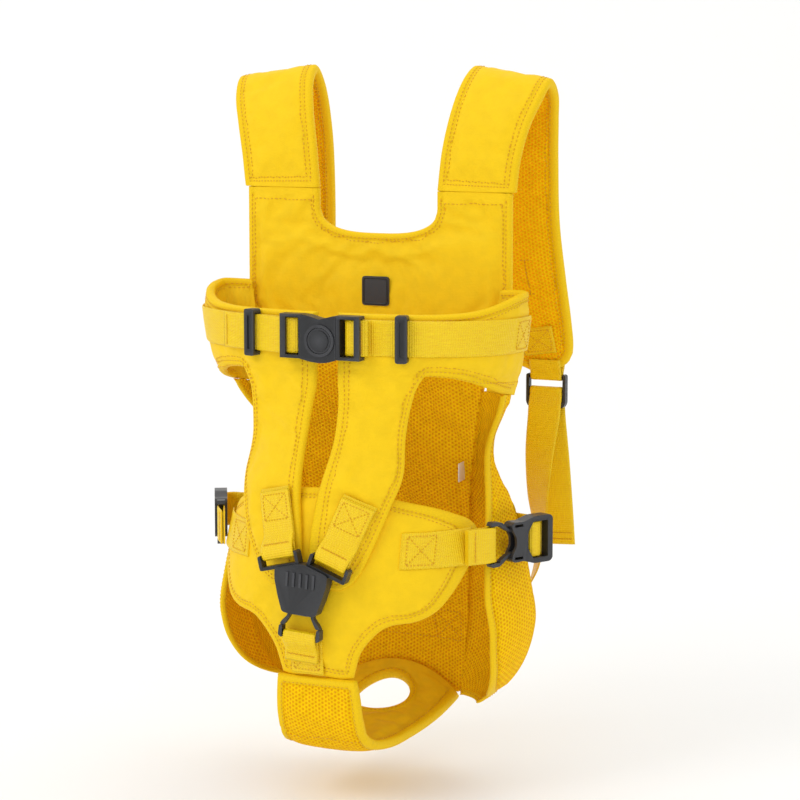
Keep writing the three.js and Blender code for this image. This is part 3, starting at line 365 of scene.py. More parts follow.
def smooth_loop(points, spacing):
    """Resamples a closed outline evenly, and keeps its sharp corners."""
    ends = [Vector(p) for p in points]
    count = len(ends)
    corners = []
    for i, p in enumerate(ends):
        before, after = p - ends[i - 1], ends[(i + 1) % count] - p
        if before.length > 1e-6 and after.length > 1e-6 and before.angle(after) > SHARP_TURN:
            corners.append(i)
    starts = corners or [0]
    out = []
    for k, start in enumerate(starts):
        stop = starts[(k + 1) % len(starts)]
        stop += count if stop <= start else 0
        run = [ends[i % count] for i in range(start, stop + 1)]
        marks = [0.0]
        for p, q in zip(run, run[1:]):
            marks.append(marks[-1] + (q - p).length)
        pieces = max(int(round(marks[-1] / spacing)), 1)
        i = 0
        for j in range(pieces):
            target = marks[-1] * j / pieces
            while i < len(run) - 2 and marks[i + 1] < target:
                i += 1
            span = max(marks[i + 1] - marks[i], 1e-9)
            out.append(run[i].lerp(run[i + 1], (target - marks[i]) / span))
    return out


def softened(points, radius, where):
    """Rounds the corners of an outline at the places that where(p) picks."""
    ends = [Vector(p) for p in points]
    count, out = len(ends), []
    picked = []
    for i, p in enumerate(ends):
        before, after = p - ends[i - 1], ends[(i + 1) % count] - p
        if before.length > 1e-6 and after.length > 1e-6 and before.angle(after) > SOFT_TURN and where(p):
            picked.append(p)
    for i, p in enumerate(ends):
        near = [c for c in picked if (p - c).length < radius]
        if not near:
            out.append(p)
        elif p in picked:
            first = next(ends[(i - k) % count] for k in range(1, count)
                         if (ends[(i - k) % count] - p).length >= radius)
            last = next(ends[(i + k) % count] for k in range(1, count)
                        if (ends[(i + k) % count] - p).length >= radius)
            for t in steps(0.1, 0.9, 8):
                out.append(first * (1 - t) ** 2 + p * 2 * t * (1 - t) + last * t * t)
    return out


def inside(point, loop):
    hit = False
    j = len(loop) - 1
    for i in range(len(loop)):
        a, b = loop[i], loop[j]
        if (a.y > point.y) != (b.y > point.y):
            if point.x < (b.x - a.x) * (point.y - a.y) / (b.y - a.y) + a.x:
                hit = not hit
        j = i
    return hit


def nearest(point, segments):
    """Distance from a point to the closest of some segments."""
    best, px, py = 1e9, point.x, point.y
    for a, b in segments:
        ax, ay = a.x, a.y
        dx, dy = b.x - ax, b.y - ay
        wx, wy = px - ax, py - ay
        t = (wx * dx + wy * dy) / (dx * dx + dy * dy + 1e-12)
        t = 0.0 if t < 0 else 1.0 if t > 1 else t
        ex, ey = wx - dx * t, wy - dy * t
        d = ex * ex + ey * ey
        if d < best:
            best = d
    return math.sqrt(best)


def inset(loop, distance):
    """The outline moved inwards; it runs anticlockwise."""
    area = sum(loop[i].cross(loop[(i + 1) % len(loop)]) for i in range(len(loop)))
    turn = 1 if area > 0 else -1
    out = []
    for i, p in enumerate(loop):
        along = (loop[(i + 1) % len(loop)] - loop[i - 1]).normalized()
        out.append(p + Vector((-along.y, along.x)) * distance * turn)
    return out


class Cut:
    """A padded or mesh piece cut from a flat outline and laid on the vest.

    lay(x, y, lift) places a point of the flat piece: lift 0 is its inner face and 1 its outer
    face. sewn_on(p) is true where the rim joins the next piece, so it isn't bound or tapered.
    """

    def __init__(self, name, outline, lay, thick, grid=3.4, holes=(), bind=5.5, edge=0.42, soft=14.0,
                 faces=("cloth", "cloth"), channels=(), sewn_on=None):
        self.lay = lay
        self.loops = [smooth_loop(outline, 3.0)] + [smooth_loop(h, 3.0) for h in holes]
        self.bound = []
        for loop in self.loops:
            for i, p in enumerate(loop):
                q = loop[(i + 1) % len(loop)]
                if not (sewn_on and sewn_on((p + q) / 2)):
                    self.bound.append((p, q))
        self.rim = [(p, loop[(i + 1) % len(loop)]) for loop in self.loops for i, p in enumerate(loop)]
        rings = [0.0, 0.7, 1.8, 3.3, bind, bind + 0.8, bind + 2.0]
        points, edges, depth, rim_rows = [], [], [], []
        for index, loop in enumerate(self.loops):
            for ring in rings:
                moved = inset(loop, ring if index == 0 else -ring) if ring else loop
                keep = [p for p in moved if not ring or nearest(p, self.rim) > ring * 0.7]
                start = len(points)
                points += keep
                depth += [ring] * len(keep)
                if len(keep) == len(moved):
                    edges += [(start + i, start + (i + 1) % len(keep)) for i in range(len(keep))]
                if not ring:
                    rim_rows.append(range(start, start + len(keep)))
        low = [min(p[k] for p in self.loops[0]) for k in (0, 1)]
        high = [max(p[k] for p in self.loops[0]) for k in (0, 1)]
        row, y = 0, low[1]
        while y < high[1]:
            x = low[0] + (grid / 2 if row % 2 else 0)
            while x < high[0]:
                p = Vector((x, y))
                if self.kept(p):
                    far = nearest(p, self.rim)
                    if far > rings[-1] + grid * 0.45:
                        points.append(p)
                        depth.append(far)
                x += grid
            y += grid * 0.866
            row += 1
        flat, _, tris, sources, _, _ = delaunay_2d_cdt(points, edges, [], 0, 1e-4)
        placed_at = {old: new for new, olds in enumerate(sources) for old in olds}
        depths = [depth[s[0]] if s else nearest(p, self.rim) for p, s in zip(flat, sources)]
        soft_depths = depths
        if sewn_on:
            soft_depths = [nearest(p, self.bound) if self.bound else 99.0 for p in flat]
        tris = [t for t in tris if self.kept(sum((flat[i] for i in t), Vector((0, 0))) / 3)]

        def half(p, d):
            if d < bind + 0.01:
                t = min(d / (bind * 0.45), 1)
                h = thick * edge * math.sqrt(max(1 - (1 - t) ** 2, 0))
            else:
                rise = math.sin(min((d - bind) / soft, 1) * math.pi / 2)
                h = mix(thick * edge * 0.9, thick / 2, rise)
                h -= 0.45 * math.exp(-((d - bind - 0.8) / 0.8) ** 2)
            for across, width, deep in channels:
                h -= deep * math.exp(-(across(p) / width) ** 2)
            return max(h, 0.0 if d < 0.05 else 0.35)

        back = {}
        shares = [half(p, d) / thick for p, d in zip(flat, soft_depths)]
        positions = [lay(p.x, p.y, 0.5 + share) for p, share in zip(flat, shares)]
        closed = [d < 0.05 and s < 0.02 for d, s in zip(depths, soft_depths)]
        for i, p in enumerate(flat):
            back[i] = i
            if not closed[i]:
                back[i] = len(positions)
                positions.append(lay(p.x, p.y, 0.5 - shares[i]))
        faces_out, slots = [], []
        for t in tris:
            bound = sum(soft_depths[i] for i in t) / 3 < bind
            faces_out.append(tuple(t))
            slots.append(2 if bound else 0)
            if not all(closed[i] for i in t):
                faces_out.append(tuple(back[i] for i in reversed(t)))
                slots.append(2 if bound else 1)
        for rows in rim_rows:
            for k, old in enumerate(rows):
                i, j = placed_at[old], placed_at[rows[(k + 1) % len(rows)]]
                ring = [i, j] + ([back[j]] if back[j] != j else []) + ([back[i]] if back[i] != i else [])
                if len(ring) > 2:
                    faces_out.append(tuple(ring))
                    slots.append(0)
        used = sorted({i for f in faces_out for i in f})
        remap = {old: new for new, old in enumerate(used)}
        self.obj = new_object(name, [positions[i] * MM for i in used],
                              [tuple(remap[i] for i in f) for f in faces_out],
                              *(MATERIALS[key] for key in (*faces, "tape")))
        mesh = self.obj.data
        flat_of = {}
        for i, p in enumerate(flat):
            for k in (i, back[i]):
                if k in remap:
                    flat_of[remap[k]] = p
        layer = mesh.uv_layers.new(name="cut")
        for polygon, material in zip(mesh.polygons, slots):
            polygon.material_index = material
            for corner in polygon.loop_indices:
                layer.data[corner].uv = flat_of[mesh.loops[corner].vertex_index]
        shape = bmesh.new()
        shape.from_mesh(mesh)
        bmesh.ops.recalc_face_normals(shape, faces=shape.faces)
        shape.to_mesh(mesh)
        shape.free()
        group = self.obj.vertex_groups.new(name="sewn")
        for i, d in enumerate(depths):
            if d < bind + 1.0 or any(abs(across(flat[i])) < width for across, width, _ in channels):
                group.add([remap[k] for k in (i, back[i]) if k in remap], 1.0, "REPLACE")

    def kept(self, p):
        return inside(p, self.loops[0]) and not any(inside(p, h) for h in self.loops[1:])

    def line(self, points, lift=1.0):
        """A line drawn on the flat piece, on its outer face."""
        return [self.lay(x, y, lift) for x, y in points]

    def rim_lines(self, distance, lift, index):
        """The bound part of the rim, moved inwards, as lines on the piece."""
        loop = self.loops[index]
        moved = inset(loop, distance if index == 0 else -distance)
        lines, now = [], []
        for p in moved + moved[:1]:
            if abs(nearest(p, self.bound) - distance) < 0.7 and nearest(p, self.rim) > distance - 0.7:
                now.append(self.lay(p.x, p.y, lift))
            else:
                lines.append(now)
                now = []
        return [row for row in lines + [now] if len(row) > 2]


def settle_cloth(obj, pressure, cap, ease=-0.02, frames=16):
    """Lets the padding swell and crease the cloth between its seams."""
    before = [v.co.copy() for v in obj.data.vertices]
    cloth = obj.modifiers.new("padding", "CLOTH")
    settings = cloth.settings
    settings.quality = 5
    settings.mass = 0.25
    settings.tension_stiffness = 12
    settings.compression_stiffness = 12
    settings.shear_stiffness = 4
    settings.bending_stiffness = 0.35
    settings.use_pressure = True
    settings.uniform_pressure_force = pressure
    settings.shrink_min = ease
    settings.vertex_group_mass = "sewn"
    settings.pin_stiffness = 1.0
    settings.effector_weights.gravity = 0.0
    cloth.collision_settings.use_collision = False
    cloth.point_cache.frame_start = 1
    cloth.point_cache.frame_end = frames
    scene = bpy.context.scene
    for number in range(1, frames + 1):
        scene.frame_set(number)
    graph = bpy.context.evaluated_depsgraph_get()
    shaped = obj.evaluated_get(graph).data
    after = [v.co.copy() for v in shaped.vertices]
    obj.modifiers.remove(cloth)
    limit = cap * MM
    for vertex, old, new in zip(obj.data.vertices, before, after):
        move = new - old
        if move.length > limit:
            move *= limit / move.length
        vertex.co = old + move
    scene.frame_set(1)


def finish_soft(piece, body, nodes):
    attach(piece.obj, body)
    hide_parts(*nodes)


# ---- Stitching ----
STITCHES = {}
STITCH_REACH = 0.012    # metres from the marked place to the cloth, at most


def stitch(path, tree, length=2.4, gap=1.3, lift=0.15, body="vest"):
    """Marks a row of stitches along a path on the surface of a piece."""
    total, marks = 0.0, [0.0]
    for a, b in zip(path, path[1:]):
        total += (b - a).length
        marks.append(total)
    count = max(int(total / (length + gap)), 1)
    pitch = total / count
    i = 0

    def at(distance):
        nonlocal i
        while i < len(path) - 2 and marks[i + 1] < distance:
            i += 1
        span = max(marks[i + 1] - marks[i], 1e-9)
        return path[i].lerp(path[i + 1], clamp((distance - marks[i]) / span))

    for k in range(count):
        a = at(k * pitch + gap / 2)
        b = at((k + 1) * pitch - gap / 2)
        ends = []
        for p in (a, b):
            spot, normal, _, far = tree.find_nearest(p * MM)
            if spot is None or far > STITCH_REACH:
                break
            ends.append((spot / MM + normal * lift, normal))
        if len(ends) == 2:
            STITCHES.setdefault(body, []).append(
                (ends[0][0], ends[1][0], (ends[0][1] + ends[1][1]).normalized()))


def sew_threads(name, material, body, width):
    """Turns the marked stitches into one mesh of small rounded threads."""
    positions, faces = [], []
    for a, b, normal in STITCHES[body]:
        along = (b - a).normalized()
        side = along.cross(normal).normalized() * width
        up = normal.normalized() * width * 0.8
        base = len(positions)
        mid = (a + b) / 2 + up * 0.5
        positions += [a - up * 0.9]
        for centre, grow in ((a.lerp(b, 0.15), 0.75), (mid, 1.0), (a.lerp(b, 0.85), 0.75)):
            for k in range(5):
                turn = k * 2 * math.pi / 5
                positions.append(centre + (side * math.cos(turn) + up * math.sin(turn)) * grow)
        positions += [b - up * 0.9]
        for k in range(5):
            n = (k + 1) % 5
            faces.append((base, base + 1 + n, base + 1 + k))
            for ring in (0, 5):
                faces.append((base + 1 + ring + k, base + 1 + ring + n, base + 6 + ring + n,
                              base + 6 + ring + k))
            faces.append((base + 16, base + 11 + k, base + 11 + n))
    obj = new_object(name, [p * MM for p in positions], faces, material)
    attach(obj, body)


def tree_of(obj):
    graph = bpy.context.evaluated_depsgraph_get()
    graph.update()
    return BVHTree.FromObject(obj, graph)


# ---- Webbing ----
def curve_through(points, spacing):
    """Closely spaced points on a smooth curve through the given ones, and the distance at each."""
    out, last = [], len(points) - 1
    for i in range(last):
        p0, p1, p2, p3 = points[max(i - 1, 0)], points[i], points[i + 1], points[min(i + 2, last)]
        d1, d2, d3 = (max((b - a).length, 1e-6) ** 0.5 for a, b in ((p0, p1), (p1, p2), (p2, p3)))
        m1 = p2 - p1 if i == 0 else ((p1 - p0) / d1 - (p2 - p0) / (d1 + d2) + (p2 - p1) / d2) * d2
        m2 = p2 - p1 if i == last - 1 else ((p2 - p1) / d2 - (p3 - p1) / (d2 + d3)
                                            + (p3 - p2) / d3) * d2
        pieces = max(int((p2 - p1).length / spacing), 1)
        for k in range(pieces):
            t = k / pieces
            out.append((2 * t ** 3 - 3 * t * t + 1) * p1 + (t ** 3 - 2 * t * t + t) * m1
                       + (3 * t * t - 2 * t ** 3) * p2 + (t ** 3 - t * t) * m2)
    out.append(points[-1].copy())
    return out


BOX_REACH = 0.78     # share of half the strap's width that a sewn box takes up


class Webbing:
    """A woven strap. Each stop along it gives its left edge, its middle and its right edge."""

    def __init__(self, name, stops, width=WEBBING, thick=WEBBING_THICK, spacing=2.4):
        self.body = "vest"
        fine, marks = curve_through([s[1] for s in stops], spacing), [0.0]
        per_stop = []
        for i, (a, b) in enumerate(zip(stops, stops[1:])):
            pieces = max(int((b[1] - a[1]).length / spacing), 1)
            per_stop += [i + k / pieces for k in range(pieces)]
        per_stop.append(len(stops) - 1)
        keys = [profile([(i, stop[side][axis]) for i, stop in enumerate(stops)])
                for side in (0, 1, 2) for axis in range(3)]
        self.rails = []
        for p, at in zip(fine, per_stop):
            left, middle, right = (Vector(key(at) for key in keys[n:n + 3]) for n in (0, 3, 6))
            self.rails.append((left - middle + p, p, right - middle + p))
        count = len(self.rails)
        self.thick = thick
        self.normals = []
        for i, (left, p, right) in enumerate(self.rails):
            run = self.rails[min(i + 1, count - 1)][1] - self.rails[max(i - 1, 0)][1]
            self.normals.append(run.cross(right - left).normalized())
            marks.append(marks[-1] + (p - self.rails[max(i - 1, 0)][1]).length)
        marks = marks[1:]
        self.length = marks[-1]
        across = [0.0, 0.03, 0.09, 0.2, 0.35, 0.5, 0.65, 0.8, 0.91, 0.97, 1.0]
        swell = [0.0, 0.75, 1.0, 0.84, 0.84, 0.84, 0.84, 0.84, 1.0, 0.75, 0.0]
        ring = list(zip(across, swell)) + [(t, -h) for t, h in zip(across[-2:0:-1], swell[-2:0:-1])]
        positions, cut = [], []
        for i in range(count):
            for t, h in ring:
                positions.append(self.across(i, t) + self.normals[i] * (h * thick / 2))
                cut.append((marks[i], t * width))
        size = len(ring)
        faces = [(i * size + k, i * size + (k + 1) % size, (i + 1) * size + (k + 1) % size,
                  (i + 1) * size + k) for i in range(count - 1) for k in range(size)]
        faces.append(tuple(range(size - 1, -1, -1)))
        faces.append(tuple((count - 1) * size + k for k in range(size)))
        self.obj = new_object(name, [p * MM for p in positions], faces, MATERIALS["webbing"])
        mesh = self.obj.data
        layer = mesh.uv_layers.new(name="cut")
        for polygon in mesh.polygons:
            polygon.use_smooth = len(polygon.vertices) == 4
            for corner in polygon.loop_indices:
                layer.data[corner].uv = cut[mesh.loops[corner].vertex_index]
        outward = mesh.polygons[0].normal.dot(positions[0] - self.rails[0][1])
        if outward < 0:
            mesh.flip_normals()

    def across(self, i, t):
        left, middle, right = self.rails[i]
        return left * (2 * t - 1) * (t - 1) + middle * 4 * t * (1 - t) + right * t * (2 * t - 1)

    def spot(self, along, across, side=1):
        """A point on the strap: along in millimetres from its start, across from -1 to 1."""
        at = clamp(along / self.length) * (len(self.rails) - 1)
        i = min(int(at), len(self.rails) - 2)
        t = (across + 1) / 2
        p = self.across(i, t).lerp(self.across(i + 1, t), at - i)
        return p + self.normals[i] * side * self.thick * 0.5

    def sew(self, tree, path, side, length=2.0, gap=0.9):
        line = [self.spot(along, across, side) for along, across in dense(path, 8)]
        stitch(line, tree, length, gap, body=self.body)

    def box_stitch(self, start, end, side=1, cross=True):
        """A sewn box, with a cross in it, between two places along the strap."""
        tree = tree_of(self.obj)
        corners = [(start, -BOX_REACH), (end, -BOX_REACH), (end, BOX_REACH), (start, BOX_REACH)]
        self.sew(tree, corners + corners[:1], side)
        if cross:
            self.sew(tree, corners[0::2], side)
            self.sew(tree, corners[3::-2], side)

    def bartack(self, along, side=1, reach=0.84):
        """A dense zigzag of thread across the strap."""
        tree = tree_of(self.obj)
        count = 22
        path = [(along + (0.8 if k % 2 else -0.8), mix(-reach, reach, k / count))
                for k in range(count + 1)]
        self.sew(tree, path, side, 1.5, 0.25)


def hung(name, stops, body, nodes, **extra):
    made = Webbing(name, stops, **extra)
    made.body = body
    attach(made.obj, body)
    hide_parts(*nodes)
    return made


def flat_stop(point, direction, width=WEBBING):
    half = direction.normalized() * width / 2
    return point - half, point, point + half


UP = Vector((0, 0, 1))
SIDES = (("right", 1), ("left", -1))


def mirrored(stops, side):
    """The same strap on the other side of the vest."""
    if side > 0:
        return stops
    return [tuple(Vector((-p.x, p.y, p.z)) for p in (c, b, a)) for a, b, c in stops]


def lofted(stations):
    """Stations of (distance, centre, across, normal) joined into one smooth strip."""
    keys = [profile([(s[0], s[part][axis]) for s in stations])
            for part in (1, 2, 3) for axis in range(3)]

    def at(distance):
        values = [key(distance) for key in keys]
        return Vector(values[0:3]), Vector(values[3:6]).normalized(), Vector(values[6:9]).normalized()
    return at


def edge_stitches(cut, spots):
    """Rows of stitches that follow the rim of a piece, on both of its faces."""
    tree = tree_of(cut.obj)
    for index in range(len(cut.loops)):
        for distance in spots:
            for lift in (1.25, -0.25):
                for path in cut.rim_lines(distance, lift, index):
                    stitch(path, tree)
    return tree


# ---- Yoke ----
def yoke_outline():
    def neck(x):
        share = min(abs(x) / 55, 1)
        return -128 + 20 * (1 - math.sqrt(max(1 - share ** 3, 0)))

    def bottom(x):
        return -213 + 1.6 * max(abs(x) - 110, 0)
    points = [(x, bottom(x)) for x in steps(-123, 123, 40)]
    points += [(123, -91), (90, -90.4), (55, -91)]
    points += [(x, neck(x)) for x in steps(55, -55, 44)]
    points += [(-55, -91), (-90, -90.4), (-123, -91)]
    return points


def lay_yoke(x, z, lift):
    return Vector((x, YOKE_Y + PAD / 2 - PAD * lift, z))


def make_yoke(sizes):
    piece = Cut("yoke_padding", yoke_outline(), lay_yoke, PAD, faces=("cloth", "lining"), soft=16,
                sewn_on=lambda p: (p.y > -92 and abs(p.x) > 55.5) or p.y < -210)
    settle_cloth(piece.obj, sizes.pressure, 2.4)
    finish_soft(piece, "vest", ["yoke_panel"])
    tree = edge_stitches(piece, (4.6, 7.4))
    row = [(x, -101) for x in steps(-116, -57, 30)]
    for path in (row, [(-x, z) for x, z in row]):
        stitch(piece.line(path, 1.3), tree)


# ---- Shoulder straps ----
STRAP = [(90.5, -32, -90.7, 35.5), (94, -31, -60, 35.5), (100, -26, -30, 36), (106, -16, -8, 37),
         (109.5, 0, 4.6, 37), (109, 16, -8, 36), (107, 25, -30, 34.5), (105.5, 30, -62, 34),
         (106, 36, -120, 33), (110, 43, -170, 32.5), (115.5, 48.5, -212, 31), (119.5, 51.5, -236, 27.5),
         (120.5, 52.2, -245, 21), (121, 52.6, -250, 11)]
STRAP_PAD = 10.0


def strap_frame(side):
    centres = [Vector((x * side, y, z)) for x, y, z, _ in STRAP]
    far, stations = 0.0, []
    for i, centre in enumerate(centres):
        if i:
            far += (centre - centres[i - 1]).length
        run = (centres[min(i + 1, len(centres) - 1)] - centres[max(i - 1, 0)]).normalized()
        across = Vector((1, 0, -0.16 * side * (1 - min(abs(centre.z) / 60, 1))))
        if i:
            across = (across - run * across.dot(run)).normalized()
        stations.append((far, centre, across, run.cross(across).normalized()))
    halves = profile([(s[0], row[3]) for s, row in zip(stations, STRAP)])
    return lofted(stations), halves, far


def make_straps(sizes):
    for name, side in SIDES:
        at, halves, far = strap_frame(side)

        def lay(x, s, lift):
            centre, across, normal = at(s)
            return centre + across * x + normal * STRAP_PAD * (0.5 - lift)
        marks = steps(0, far, 60)
        outline = [(halves(s), s) for s in marks] + [(-halves(s), s) for s in reversed(marks)]
        piece = Cut("strap_padding_" + name, outline, lay, STRAP_PAD, faces=("cloth", "strap_mesh"),
                    soft=13, bind=7.0, sewn_on=lambda p: p.y < 0.5)
        settle_cloth(piece.obj, sizes.pressure, 2.4)
        finish_soft(piece, "vest", ["shoulder_strap_" + name])
        tree = edge_stitches(piece, (6.0, 9.0))
        patch = far - 38
        sewn = []
        for s in steps(patch - 2, patch + 22, 10):
            centre, across, normal = at(s)
            sewn.append(flat_stop(centre + normal * (STRAP_PAD / 2 + 0.5), across, 30))
        made = Webbing("strap_patch_" + name, sewn)
        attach(made.obj, "vest")
        for face in (1, -1):
            made.box_stitch(3, 21, face)
        tack = [((-1) ** k * 0.9, patch - 62 + k * 0.8) for k in range(38)]
        marks = [tack, [(-5, patch - 62), (5, patch - 62)], [(-5, patch - 32), (5, patch - 32)],
                 [(-30, 5), (30, 5)], [(-30, 8), (30, 8)]]
        for path in marks:
            for lift in (1.2, -0.2):
                stitch(piece.line(dense(path, 6), lift), tree, 2.0, 0.8)


# ---- Back panel and seat ----
def make_back(sizes):
    low, high = -514.0, -213.3

    def lay(x, z, lift):
        return panel(x, z, 4 - 8 * lift)
    bottom = [(u * panel_half(low), low - 26 * u * u) for u in steps(-1, 1, 24)]
    right = [(panel_half(z), z) for z in steps(-536, high, 60)]
    left = [(-x, z) for x, z in reversed(right)]
    outline = softened(bottom[:-1] + right + left[:-1], 6, lambda p: p.y < -500)
    piece = Cut("back_padding", outline, lay, PANEL, faces=("mesh", "mesh"),
                soft=18, grid=4.2, sewn_on=lambda p: True)
    settle_cloth(piece.obj, sizes.pressure, 2.6)
    finish_soft(piece, "vest", ["back_panel"])
    tree = edge_stitches(piece, (4.6,))
    low, high = ANCHOR_Z - 13, ANCHOR_Z + 13
    for end in (1, -1):
        corners = [(0, low), (60, low), (60, high), (0, high)]
        cross = [(34, low), (34, high), (60, low)], [(34, low), (60, high)]
        for path in (corners, *cross):
            stitch(piece.line([(end * x, z) for x, z in dense(path, 8)], 1.2), tree, 2.2, 1.0)


SEAT = [(-155.5, -487.7, 36, 0), (-153, -505, 38, 0), (-150, -522, 39, 0), (-142, -540, 40, -1),
        (-128, -549, 43, -1), (-100, -551, 47, 1), (-72, -548, 50, 3), (-48, -542, 54, 6),
        (-26, -534, 57, 10), (-4, -524, 59, 15), (13.4, -512.6, 59.4, 23)]
TAIL_RADIUS = 24.0
TAIL_Y = -24.0


def make_seat(sizes):
    marks = [0.0]
    for a, b in zip(SEAT, SEAT[1:]):
        marks.append(marks[-1] + math.hypot(b[0] - a[0], b[1] - a[1]))
    ys, zs, halves, drops = (profile([(m, row[k]) for m, row in zip(marks, SEAT)]) for k in range(4))
    curls = profile([(m, max(i - 6, 0) * 6 / 4) for i, m in enumerate(marks)])

    def lay(x, s, lift):
        u = x / halves(s)
        run = Vector((ys(s + 1) - ys(s - 1), zs(s + 1) - zs(s - 1))).normalized()
        w = (2 * lift - 1) * 5
        return Vector((x, ys(s) - curls(s) * u * u + run.y * w, zs(s) - drops(s) * u * u - run.x * w))
    rows = steps(0, marks[-1], 60)
    outline = [(halves(s), s) for s in rows] + [(-halves(s), s) for s in reversed(rows)]
    middle = next(s for s in steps(0, marks[-1], 900) if ys(s) > TAIL_Y)
    hole = [(TAIL_RADIUS * math.cos(a), middle + TAIL_RADIUS * 1.06 * math.sin(a))
            for a in (k * math.pi / 24 for k in range(48))]
    front_seam = (lambda p: p.y - 52, 1.3, 1.6)
    piece = Cut("seat_padding", outline, lay, 10.0, holes=[hole], faces=("mesh", "lining"), soft=14,
                bind=6.5, channels=[front_seam], sewn_on=lambda p: p.y > marks[-1] - 0.5)
    settle_cloth(piece.obj, sizes.pressure, 2.6)
    finish_soft(piece, "vest", ["seat_panel"])
    tree = edge_stitches(piece, (5.6,))
    stitch(piece.line([(x, 54.5) for x in steps(-36, 36, 20)], 1.2), tree)


# ---- Side walls ----
FREE_EDGE = profile([(-545, 112), (-530, 96), (-512, 80), (-485, 70), (-460, 66), (-422, 65), (-360, 73),
                     (-311, 86), (-259.7, 84)])
WALL_BOTTOM, WALL_TOP = -534.0, -259.7
ARC = 2.0          # millimetres of cloth for each degree round the pouch
WALL_SEAM = 0.9    # degrees by which each wall reaches past its seam with the back panel


def make_walls(sizes):
    for name, side in SIDES:
        def lay(x, z, lift):
            return pouch(side * x / ARC, z, WALL * lift)
        rows = steps(WALL_BOTTOM, WALL_TOP, 60)
        outline = [(FREE_EDGE(z) * ARC, z) for z in rows]
        top = seam_angle(WALL_TOP)
        outline += [(a * ARC, BAND_BOTTOM(a) - 0.4)
                    for a in steps(FREE_EDGE(WALL_TOP), top + WALL_SEAM, 20)]
        outline += [((seam_angle(z) + WALL_SEAM) * ARC, z) for z in reversed(rows)]
        outline = softened(outline, 13, lambda p: p.y < -500 and p.x < 260)
        piece = Cut("wall_mesh_" + name, outline, lay, WALL, faces=("mesh", "mesh"), soft=8, grid=4.2,
                    bind=5.0, edge=0.46,
                    sewn_on=lambda p: (abs(p.x - (seam_angle(p.y) + WALL_SEAM) * ARC) < 3
                                       or p.y > WALL_TOP))
        settle_cloth(piece.obj, sizes.pressure * 0.5, 1.2)
        finish_soft(piece, "vest", ["side_wall_" + name])
        edge_stitches(piece, (4.1,))


# ---- Chest flaps ----
BAND_TOP = profile([(0, -186), (50, -184), (90, -171), (130, -171)])
BAND_BOTTOM = profile([(0, -238), (45, -238), (90, -258), (130, -258)])
BELT_MID = profile([(-412, 22), (-380, 28), (-330, 37), (-290, 39.5), (-238, 41), (-222, 41)])
BELT_HALF = profile([(-412, 8), (-406, 17), (-380, 25), (-330, 29), (-290, 27.5), (-250, 31), (-238, 36),
                     (-222, 36)])
BELT_OUT = profile([(-412, 5.5), (-345, 5.9), (-322, 5.9), (-285, 0.4), (-222, 0.4)])
BELT_PAD = profile([(-412, 3.2), (-398, 3.8), (-366, 7.5), (-222, 7.5)])
BELT_DRIFT = profile([(-340, -8), (-250, 0)])
FLAP_EDGE = 9      # the flaps meet this far from the middle
SLANT = 0.06       # fall of the crease across each flap


def belt_x(side, u, z):
    return side * (BELT_MID(z) + u * BELT_HALF(z)) + BELT_DRIFT(z)


def make_flaps(sizes):
    for name, side in SIDES:
        def lay(x, z, lift):
            join = eased(clamp((z + 266) / 30))
            low = mix(BELT_OUT(z), 0.0, join)
            high = mix(BELT_OUT(z) + BELT_PAD(z), PAD, join)
            thin = clamp((x / ARC - 92) / 26) * clamp((-232 - z) / 20)
            high = mix(high, WALL + 0.8, thin)
            return pouch(side * x / ARC, z, mix(low, high, lift))

        def spot(u, z):
            x = side * belt_x(side, u, z)
            return angle_at(max(x, FLAP_EDGE) if z > -262 else x, z) * ARC, z
        far = 125.8
        outline = [(a * ARC, BAND_TOP(a)) for a in steps(angle_at(FLAP_EDGE, -186), far, 60)]
        outline += [(min(far + 0.6, seam_angle(z) + 0.4) * ARC, z) for z in steps(-171.5, -257.5, 26)]
        outer = spot(1, -238.0)[0]
        outline += [(a * ARC, BAND_BOTTOM(a)) for a in steps(far - 1, outer / ARC + 1, 46)]
        outline += [spot(1, z) for z in steps(-240, -411.5, 60)]
        outline += [spot(u, -412.0) for u in steps(0.9, -0.9, 6)]
        outline += [spot(-1, z) for z in steps(-411.5, -240, 60)]
        outline += [(angle_at(FLAP_EDGE, z) * ARC, z) for z in steps(-238, -188, 16)]
        crease = (lambda p: p.y + SLANT * p.x + 232 if p.x < 190 else 99, 1.6, 0.9)
        piece = Cut("flap_padding_" + name, outline, lay, PAD, faces=("cloth", "lining"), soft=13,
                    channels=[crease], sewn_on=lambda p: p.x > 172 and p.y < -176)
        settle_cloth(piece.obj, sizes.pressure, 2.0)
        finish_soft(piece, "vest", ["chest_flap_" + name])
        tree = edge_stitches(piece, (4.6, 7.4))
        stitch(piece.line([(x, -SLANT * x - 236) for x in steps(outer + 4, 185, 40)], 1.2), tree)


# ---- Crotch panel ----
CROTCH_TOP = profile([(0, -330), (40, -333), (70, -341), (88, -347), (102, -355), (108, -361),
                      (112, -370)])
CROTCH_LOW = profile([(0, -486), (33, -486), (36, -472), (44, -457), (60, -442), (83, -437), (96, -429),
                      (104, -416), (108, -406), (112, -392)])


def make_crotch(sizes):
    def lay(x, z, lift):
        return front(x, z, WALL * lift)
    xs = steps(-112, 112, 90)
    outline = [(x, CROTCH_LOW(abs(x))) for x in xs] + [(x, CROTCH_TOP(abs(x))) for x in reversed(xs)]
    piece = Cut("crotch_padding", outline, lay, WALL, faces=("cloth", "mesh"), soft=12, bind=6.0,
                edge=0.44)
    settle_cloth(piece.obj, sizes.pressure * 0.7, 1.3)
    finish_soft(piece, "vest", ["crotch_panel"])
    edge_stitches(piece, (5.0, 7.6))


# ---- Webbing round the body ----
FOLD_GAP = 2.5
BAR_X = -29.0


def placed(origin, along, out, up=UP):
    """A buckle's own frame: along its length, out from its face, and across."""
    return lambda x, y, z=0.0: origin + along * x + out * y + up * z


